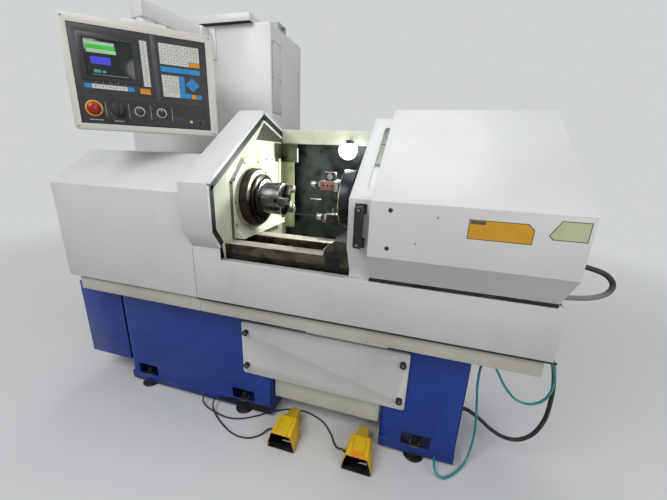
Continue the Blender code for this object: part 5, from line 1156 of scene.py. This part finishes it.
boring_angle, lower_angle, bottom_angle = 139, 229, 274
block_side = 0.0245
for name, angle, length, clamp_screws in (
        ("boring", boring_angle, 0.110, 3), ("lower", lower_angle, 0.075, 2), ("bottom", bottom_angle, 0.075, 2)):
    block_face = disc_face - length
    centre = station(angle, block_face)
    fit(place(disc(f"{name}_nut", 0.0205, 0.014, 0.0014, 6, 0.0126, 0.001), facing(centre, LEFT)),
        "turret", bright_steel_and_disc_highlight)
    fit(place(disc(f"{name}_sleeve", 0.0165, 0.026, 0.003, 40, 0.0126, 0.001), facing(centre, LEFT)),
        "turret", tool_steel)
    fit(place(disc(f"{name}_collar", 0.0210, 0.026, 0.0016, 40, 0.0126, 0.001),
              facing(centre + LEFT * 0.033, LEFT)), "turret", bright_steel_and_disc_highlight)
    fit(place(disc(f"{name}_bar_end", 0.0132, 0.012, 0.003, 24), facing(centre + LEFT * 0.058, LEFT)),
        "turret", tool_steel)
    near_side = centre.y - block_side
    screws(f"{name}_clamp_screws", 0.0055, 0.005,
           [facing((block_face + 0.018 + 0.024 * step, near_side, centre.z), FORWARD)
            for step in range(clamp_screws)], dark_iron, "turret")
    # A painted highlight: a bright strip along each holder's near top edge.
    block(f"{name}_bright_edge", (block_face, near_side - 0.0012, centre.z + block_side - 0.0045),
          (disc_face - 0.001, near_side + 0.003, centre.z + block_side + 0.0012), jaw_bright_and_highlight, 0.0010,
          body="turret")

# Clamp of the boring holder at the disc, the dark block under it, a coolant nozzle and the wipers of the ways

boring = station(boring_angle, disc_face)
clamp = box("boring_clamp", (disc_face - 0.036, boring.y - block_side - 0.005, boring.z - block_side - 0.005),
            (disc_face - 0.002, boring.y + block_side, boring.z + block_side + 0.006), 0.004, 3)
with Editing(clamp) as edit:
    edit.pick(lambda middle, normal: normal.y < -0.9)
    stepped(0.006, (0, 0.004, 0))
fit(smooth(clamp), "turret", bright_steel_and_disc_highlight)
under_block = box("boring_under_block", (disc_face - 0.104, boring.y - 0.020, boring.z - block_side - 0.066),
                  (disc_face - 0.0002, boring.y + 0.022, boring.z - block_side - 0.0004), 0.002)
with Editing(under_block) as edit:
    edit.pick(lambda middle, normal: normal.x < -0.9)
    stepped(0.008, (0.004, 0, 0))
fit(smooth(under_block), "turret", tool_steel)
top_low = Vector((disc_face - 0.080, boring.y - 0.020, boring.z + block_side - 0.0002))
block("boring_top_block", top_low, top_low + Vector((0.049, 0.041, 0.046)), tool_steel, 0.0018, body="turret")
fit(place(disc("boring_top_ring", 0.0165, 0.006, 0.0012, 32, 0.0095, 0.005),
          facing(top_low + Vector((0.024, 0.0003, 0.024)), FORWARD)), "turret", bright_steel_and_disc_highlight)
block("boring_top_strip", top_low + Vector((-0.006, -0.001, 0.0452)),
      top_low + Vector((0.056, 0.020, 0.0490)), jaw_bright_and_highlight, 0.0008, body="turret")
fit(place(disc("coolant_nozzle", 0.0040, 0.070, 0.0015, 16, 0.0022, 0.004),
          facing(boring + Vector((-0.104, -0.004, -0.080)), LEFT)), "turret", chrome)
lower = station(lower_angle, disc_face)
fit(place(disc("lower_clamp_pin", 0.0042, 0.030, 0.0012, 16, 0.0020, 0.002),
          facing(lower + Vector((-0.042, 0, block_side - 0.001)), UP)), "turret", chrome)
saddle_left = saddle_low.x
block("saddle_apron", (saddle_left, -0.5680, way_top - 0.066),
      (saddle_left + 0.070, -0.5612, way_top + 0.012), dark_iron, 0.0015, body="carriage")
for name, low_y, high_y in (("front_way_wiper", -0.566, -0.480), ("rear_way_wiper", -0.352, -0.256)):
    block(name, (saddle_left - 0.007, low_y, way_top + 0.0012),
          (saddle_left - 0.0002, high_y, way_top + 0.036), jaw_bright_and_highlight, 0.0012, body="carriage")
    block(f"{name}_lip", (saddle_left - 0.010, low_y, way_top + 0.0006),
          (saddle_left - 0.0068, high_y, way_top + 0.010), rubber, 0.0008, body="carriage")


# Pendant, in its own frame: X along its width, -Y out of its face, Z up

face_depth = 0.0027
key_height = 0.0012


def on_panel(piece, finish, body="pendant"):
    """Set a piece made in the pendant's frame in its place."""
    return fit(place(piece, pendant_frame), body, finish)


def key_cap(name, low, high):
    """A membrane key with softened edges and a dished face, from two of its corners."""
    key = box(name, (low[0], -key_height, low[1]), (high[0], 0, high[1]), 0.0007)
    with Editing(key) as edit:
        edit.pick(lambda middle, normal: normal.y < -0.9)
        bpy.ops.mesh.inset(thickness=0.0012)
        bpy.ops.transform.translate(value=(0, 0.0003, 0))
    return key


def keys(name, finish, places, width, height):
    """Membrane keys, from their lower left corners."""
    key = key_cap(name, (0, 0), (width, height))
    made = copies(key, name, [Matrix.Translation((left, face_depth, low)) for left, low in places])
    return on_panel(made, finish)


def cells(left, low, columns, rows, across, upward):
    """Lower left corners of a field of keys."""
    return [(left + across * column, low + upward * row) for row in range(rows) for column in range(columns)]


side_width, side_height = 0.030, 0.0198
side_spots = cells(-0.012, -0.029, 1, 10, side_width, 0.0206)
row_low, row_width, row_height = -0.060, 0.0286, 0.020
row_spots = cells(-0.2316, row_low, 5, 1, 0.0294, row_height)
keys("side_soft_keys", key_white, side_spots, side_width, side_height)
keys("row_soft_keys", key_white, row_spots, row_width, row_height)
keys("row_end_keys", key_blue, [(-0.261, row_low), (-0.0846, row_low)], row_width, row_height)
keys("reset_key", key_orange, [(-0.032, -0.066)], 0.046, 0.026)

letter_left, letter_low = 0.070, 0.085
letter_pitch, letter_rise = 0.0264, 0.02375
letter_width, letter_height = 0.0256, 0.0229
long_left = letter_left + letter_pitch * 5
letters = [(left, low) for left, low in cells(letter_left, letter_low, 7, 4, letter_pitch, letter_rise)
           if low > letter_low + letter_rise / 2 or left < long_left - letter_pitch / 2]
keys("letter_keys", key_white, letters, letter_width, letter_height)
keys("long_key", key_orange, [(long_left, letter_low)], letter_pitch * 2 - 0.0008, letter_height)
keys("page_keys", key_blue, cells(letter_left, 0.0500, 7, 1, letter_pitch, 0.024), letter_width, 0.0240)

number_left, number_low = 0.071, -0.067
number_rise, number_height = 0.0258, 0.0250
keys("number_keys", key_white, cells(number_left, number_low, 3, 4, letter_pitch, number_rise),
     letter_width, number_height)
edit_left, edit_width, low_height = 0.151, 0.0246, 0.0220
edit_spots = cells(edit_left, -0.041, 1, 3, 0.022, number_rise)
edit_spots += [(edit_left, number_low), (0.177, number_low)]
keys("edit_keys", key_blue, edit_spots, edit_width, number_height)
keys("alter_key", key_orange, [(0.204, number_low)], edit_width, low_height)
keys("input_key", key_blue, [(0.230, number_low)], edit_width, low_height)

arrow_centre = (0.213, 0.000)
arrow_half = 0.0170
arrow = key_cap("arrow_key", (-0.0118, -0.0118), (0.0118, 0.0118))
eighth_turn = Matrix.Rotation(math.pi / 4, 4, "Y")
on_panel(copies(arrow, "arrow_keys", [
    Matrix.Translation((arrow_centre[0] + x, face_depth, arrow_centre[1] + z)) @ eighth_turn
    for x, z in ((-arrow_half, 0), (arrow_half, 0), (0, -arrow_half), (0, arrow_half))]), key_blue)


def mark(name, low, high, height=0.0004, finish=mark_white):
    """A thin printed mark on the panel."""
    return on_panel(box(name, (low[0], face_depth - height, low[1]), (high[0], face_depth, high[1]),
                        height * 0.4, 1), finish)


def numeral(figure, size):
    """A plain figure as a thin solid, standing on the panel's face."""
    bpy.ops.object.select_all(action="DESELECT")
    bpy.ops.object.text_add(location=(0, 0, 0))
    words = bpy.context.active_object
    words.data.body = figure
    words.data.size = size
    words.data.extrude = 0.0001
    words.data.resolution_u = 2
    words.data.align_x = "CENTER"
    words.data.align_y = "CENTER"
    bpy.ops.object.convert(target="MESH")
    return bpy.context.active_object


figures = []
key_top = face_depth - key_height + 0.0002
for index, figure in enumerate("0123456789"):
    column, row = (0, 0) if index == 0 else ((index - 1) % 3, (index - 1) // 3 + 1)
    piece = numeral(figure, 0.0125)
    spot = (number_left + letter_pitch * column + letter_width / 2, key_top,
            number_low + number_rise * row + number_height / 2)
    figures.append(place(piece, Matrix.Translation(spot) @ Matrix.Rotation(math.pi / 2, 4, "X")))
choose(*figures)
bpy.ops.object.join()
number_figures = bpy.context.active_object
number_figures.name = "number_figures"
on_panel(number_figures, mark_dark_and_shadow)

dot = box("key_dot", (-0.0022, -0.0003, -0.0022), (0.0022, 0.0001, 0.0022), 0.0001, 1)
dots = [(left + across, low + up) for spots, across, up in
        ((letters, 0.0128, 0.0115), (side_spots, 0.015, 0.0099), (row_spots, 0.0143, 0.0100))
        for left, low in spots]
on_panel(copies(dot, "key_dots", [Matrix.Translation((x, key_top, z)) for x, z in dots]), mark_dark_and_shadow)

pendant_top = 0.495 / 2
on_panel(box("pendant_top_plate", (-0.076, 0.012, pendant_top - 0.0004), (0.114, 0.150, pendant_top + 0.017),
             0.0015), white)
repaint(shells["pendant_housing"], white,
        lambda middle, normal: (pendant_frame.inverted() @ middle).z > pendant_top + 0.001)
bezel = box("screen_bezel", (-0.268, face_depth - 0.0030, -0.026), (-0.024, face_depth, 0.178), 0.0012)
carved(bezel, box("bezel_tool", (-0.244, face_depth - 0.02, -0.011), (-0.046, face_depth + 0.01, 0.155),
                  0.0060, 3))
on_panel(smooth(bezel), bezel_black)
for name, finish, left, low, right, high in (
        ("screen_top_field", glow_pale, -0.238, 0.1300, -0.120, 0.1440),
        ("screen_green_field", glow_green, -0.236, 0.1120, -0.118, 0.1298),
        ("screen_lower_field", glow_pale, -0.234, 0.0960, -0.116, 0.1118),
        ("screen_blue_field", glow_blue, -0.222, 0.0480, -0.142, 0.0800),
        ("screen_teal_field", glow_teal, -0.214, 0.0110, -0.186, 0.0240),
        ("screen_dim_field", glow_teal, -0.180, 0.0110, -0.166, 0.0220),
        ("screen_line", glow_pale, -0.222, 0.0016, -0.074, 0.0028)):
    on_panel(box(name, (left, face_depth - 0.0006, low), (right, face_depth, high), 0.0002, 1), finish)

# Painted highlights: a lighter ridge and a lighter line for the lit edges of the panel's plates.
divider = box("panel_divider_highlight", (0.036, face_depth - 0.0020, -0.092), (0.056, face_depth, 0.206), 0.0014)
on_panel(divider, panel_grey_and_highlight)
mark("panel_cross_highlight", (-0.284, -0.0955), (0.270, -0.0925), 0.0010, panel_grey_and_highlight)
for index, left in enumerate((-0.190, -0.093, 0.004, 0.101)):
    mark(f"control_line_{index}", (left, -0.186), (left + 0.0014, -0.118))
for index, (left, right) in enumerate(((-0.262, -0.206), (-0.160, -0.118))):
    mark(f"control_blank_{index}", (left, -0.2030), (right, -0.2004))
for index in range(5):
    left = -0.214 + 0.030 * index
    mark(f"soft_key_line_{index}", (left, -0.034), (left + 0.0012, -0.0265), 0.0003)


def panel_ring(name, x, z, inner, outer, height, finish, sides=48):
    """A flat ring on the panel round a control."""
    ring = disc(name, outer, height, height * 0.35, sides)
    tool = place(disc(f"{name}_tool", inner, 0.02, 0.0001, sides), Matrix.Translation((0, 0, -0.007)))
    carved(ring, tool)
    place(ring, facing((x, face_depth, z), FORWARD))
    return on_panel(smooth(ring), finish)


control_z = -0.150
stop_x, mode_x, feed_x, speed_x = -0.237, -0.138, -0.045, 0.054
pilot_x, pilot_z = 0.192, -0.182
panel_ring("stop_ring", stop_x, control_z, 0.0300, 0.0365, 0.0018, ring_yellow)
panel_ring("stop_seat", stop_x, control_z, 0.0075, 0.0302, 0.0010, stop_seat)
panel_ring("feed_ring", feed_x, control_z, 0.0180, 0.0228, 0.0008, mark_white)
panel_ring("speed_ring", speed_x, control_z, 0.0180, 0.0228, 0.0008, mark_white)
panel_ring("key_ring", 0.242, -0.184, 0.0125, 0.0185, 0.0012, panel_grey_and_highlight)
panel_ring("pilot_collar", pilot_x, pilot_z, 0.0065, 0.0085, 0.0016, panel_grey_and_highlight, 32)
pilot = place(disc("pilot_lamp", 0.0064, 0.0040, 0.0022, 32), facing((pilot_x, face_depth, pilot_z), FORWARD))
on_panel(pilot, pilot_green)


def scale_ticks(name, x, z, inner, outer, count, start, end):
    """Short lines round a control."""
    places = []
    for step in range(count):
        angle = math.radians(start + (end - start) * step / (count - 1))
        places.append(Matrix.Translation((x, face_depth, z)) @ Matrix.Rotation(angle, 4, "Y"))
    tick = box(name, (-0.0005, -0.0004, inner), (0.0005, 0, outer), 0.0001, 1)
    return on_panel(copies(tick, name, places), mark_white)


scale_ticks("mode_ticks", mode_x, control_z, 0.0335, 0.0365, 9, -120, 120)
scale_ticks("feed_ticks", feed_x, control_z, 0.0245, 0.0280, 11, -135, 135)
scale_ticks("speed_ticks", speed_x, control_z, 0.0245, 0.0280, 11, -135, 135)

for body, x, radius, height in (("mode_knob", mode_x, 0.030, 0.024), ("feed_dial", feed_x, 0.0165, 0.020),
                                ("speed_dial", speed_x, 0.0165, 0.020)):
    pointer = box(f"{body}_pointer", (-0.0012, -height - 0.0006, radius * 0.25),
                  (0.0012, -height + 0.0006, radius * 0.80), 0.0004)
    on_panel(place(pointer, Matrix.Translation((x, face_depth, control_z))), mark_white, body)
grip = box("mode_grip", (-0.0055, -0.034, -0.0285), (0.0055, -0.0235, 0.0285), 0.0026, 3)
on_panel(place(grip, Matrix.Translation((mode_x, face_depth, control_z))), black, "mode_knob")
rib_turns = [Matrix.Rotation(math.radians(20 * step), 4, "Y") for step in range(18)]
for body, x in (("feed_dial", feed_x), ("speed_dial", speed_x)):
    rib = box(f"{body}_rib", (-0.0009, -0.019, 0.0158), (0.0009, -0.0035, 0.0171), 0.0004, 1)
    ribs = copies(rib, f"{body}_ribs",
                  [Matrix.Translation((x, face_depth, control_z)) @ turned for turned in rib_turns])
    on_panel(ribs, black, body)

screws("bezel_screws", 0.0042, 0.0022,
       [pendant_frame @ facing((x, 0.0003, z), FORWARD) for x, z in
        ((0.306, 0.232), (0.306, -0.236), (0.293, -0.236), (-0.311, 0.232), (-0.311, -0.236))],
       zinc, "pendant")

# Foot switches: rubbed front edges, seams on the roof, an orange patch and ribs on the treadles


def roof_frame(piece):
    """The largest face that looks up, and its frame: X across, Y up the slope, Z out of it."""
    roof = max((face for face in piece.data.polygons if face.normal.z > 0.5 and face.center.z > 0.06),
               key=lambda face: face.area)
    out = roof.normal.copy()
    axes = Matrix((RIGHT, out.cross(RIGHT), out)).transposed().to_4x4()
    return Matrix.Translation(roof.center) @ axes, roof


for side, x in (("left", left_pedal_x), ("right", right_pedal_x)):
    body = f"{side}_treadle"
    shoe = shells[f"{side}_foot_switch"]
    repaint(shoe, dark_iron, lambda middle, normal: normal.z > 0.5 and middle.z < 0.012)
    repaint(shoe, dark_iron, lambda middle, normal: abs(normal.x) < 0.2 and normal.y < -0.7)
    roof_place, roof = roof_frame(shoe)
    corners = [roof_place.inverted() @ shoe.data.vertices[index].co for index in roof.vertices]
    front = min(corner.y for corner in corners)
    half = max(corner.x for corner in corners)
    for name, low, high, shares, finish in (
            ("roof_seam", (-0.0009, front + 0.002, -0.0003), (0.0009, -front - 0.012, 0.0005),
             (-0.60, 0.60), seam_brown),
            ("worn_edge", (-0.005, front - 0.0002, -0.0004), (0.005, front + 0.0022, 0.0004),
             (-0.8, -0.3, 0.1, 0.65), dark_iron)):
        line = box(f"{side}_{name}", low, high, 0.0002, 1)
        spots = [roof_place @ Matrix.Translation((half * share, 0, 0)) for share in shares]
        fit(copies(line, f"{side}_{name}s", spots), "machine", finish)
    if side == "right":
        patch = box("orange_patch", (-half * 0.62, front + 0.004, -0.0003),
                    (half * 0.70, front + 0.036, 0.0008), 0.0005, 1)
        fit(place(patch, roof_place), "machine", patch_orange)
    treadle_frame = Matrix.Translation((x, -0.5530, 0.036)) @ Matrix.Rotation(math.radians(-9), 4, "X")
    strip = box(f"{side}_tread_rib", (-0.046, -0.0015, 0.0036), (0.046, 0.0015, 0.0052), 0.0006)
    spots = [treadle_frame @ Matrix.Translation((0, -0.012 - 0.0082 * step, 0)) for step in range(11)]
    fit(copies(strip, f"{side}_tread_ribs", spots), body, treadle_metal)

# Lamps, floor and backdrop


def area_lamp(name, at, towards, size, power, colour=(1, 1, 1)):
    """A soft lamp that looks at a point."""
    lamp = bpy.data.objects.new(name, bpy.data.lights.new(name, "AREA"))
    lamp.data.shape = "DISK"
    lamp.data.size = size
    lamp.data.energy = power
    lamp.data.color = colour
    heading = Vector(towards) - Vector(at)
    lamp.matrix_world = Matrix.Translation(at) @ heading.to_track_quat("-Z", "Y").to_matrix().to_4x4()
    scene.collection.objects.link(lamp)
    return lamp


area_lamp("key_lamp", (-1.2, -3.2, 4.2), (0, -0.2, 1.0), 2.4, 86)
area_lamp("fill_lamp", (3.6, -3.0, 2.6), (0.2, -0.2, 0.9), 2.6, 46)
area_lamp("top_lamp", (0.4, 0.6, 4.8), (0, -0.1, 1.0), 2.8, 40)
area_lamp("back_lamp", (-2.2, 4.2, 3.4), (0, 0.3, 1.0), 2.6, 46)
area_lamp("work_glow", (0.340, 0.02, 1.500), (0.02, -0.30, 1.15), 0.10, 5.5, (0.97, 1.0, 0.97))

bpy.ops.object.select_all(action="DESELECT")
bpy.ops.mesh.primitive_plane_add(size=120, location=(0, 0, 0))
floor = bpy.context.active_object
floor.name = "studio_floor"
floor_finish = Finish("studio_floor", "white_paint")
backdrop_colour = tone(208, 210, 212)
direct, mirrored, seen_through = (floor_finish.node("ShaderNodeLightPath", output=kind) for kind in
                                  ("Is Camera Ray", "Is Glossy Ray", "Is Transmission Ray"))
looked_at = floor_finish.between(direct + mirrored + seen_through, 0, 1)
pale_floor = floor_finish.mixed(floor_finish.noise(0.8, detail=4), tone(216, 216, 215), tone(224, 224, 222))
floor_finish.coat(Base_Color=floor_finish.mixed(looked_at, tone(150, 148, 146), pale_floor), Roughness=0.75)
far_floor = floor_finish.node("ShaderNodeEmission", None, {"Color": backdrop_colour, "Strength": 1.0})
away = floor_finish.node("ShaderNodeVectorMath", {"operation": "LENGTH"}, {0: floor_finish.here()},
                         output="Value")
fade_start, fade_end = 2.2, 6.5
faded = floor_finish.between(away, fade_start, fade_end) * looked_at
near_floor = Signal(floor_finish, floor_finish.shader.outputs[0])
joined = floor_finish.node("ShaderNodeMixShader", None, {0: faded, 1: near_floor, 2: far_floor})
floor_finish.tree.links.new(joined.socket, floor_finish.tree.nodes["Material Output"].inputs["Surface"])
floor.data.materials.append(floor_finish.material)

world = bpy.data.worlds.new("studio")
world.use_nodes = True
scene.world = world
tree = world.node_tree
ambient = tree.nodes["Background"]
ambient.inputs["Color"].default_value = (0.90, 0.93, 1.0, 1)
ambient.inputs["Strength"].default_value = 0.36
backdrop = tree.nodes.new("ShaderNodeBackground")
backdrop.inputs["Color"].default_value = backdrop_colour
backdrop.inputs["Strength"].default_value = 1.0
paths = tree.nodes.new("ShaderNodeLightPath")
seen = tree.nodes.new("ShaderNodeMath")
shown = tree.nodes.new("ShaderNodeMath")
for either in (seen, shown):
    either.operation = "MAXIMUM"
tree.links.new(paths.outputs["Is Camera Ray"], seen.inputs[0])
tree.links.new(paths.outputs["Is Glossy Ray"], seen.inputs[1])
tree.links.new(seen.outputs[0], shown.inputs[0])
tree.links.new(paths.outputs["Is Transmission Ray"], shown.inputs[1])
choice = tree.nodes.new("ShaderNodeMixShader")
tree.links.new(shown.outputs[0], choice.inputs[0])
tree.links.new(ambient.outputs[0], choice.inputs[1])
tree.links.new(backdrop.outputs[0], choice.inputs[2])
tree.links.new(choice.outputs[0], tree.nodes["World Output"].inputs[0])

right = eye_right.normalized()
back = right.cross(eye_up).normalized()
up = back.cross(right)
camera = bpy.data.objects.new("camera", bpy.data.cameras.new("camera"))
camera.data.lens = eye_lens
camera.matrix_world = Matrix.Translation(eye) @ Matrix((right, up, back)).transposed().to_4x4()
scene.collection.objects.link(camera)
scene.camera = camera
scene.view_settings.view_transform = "Standard"
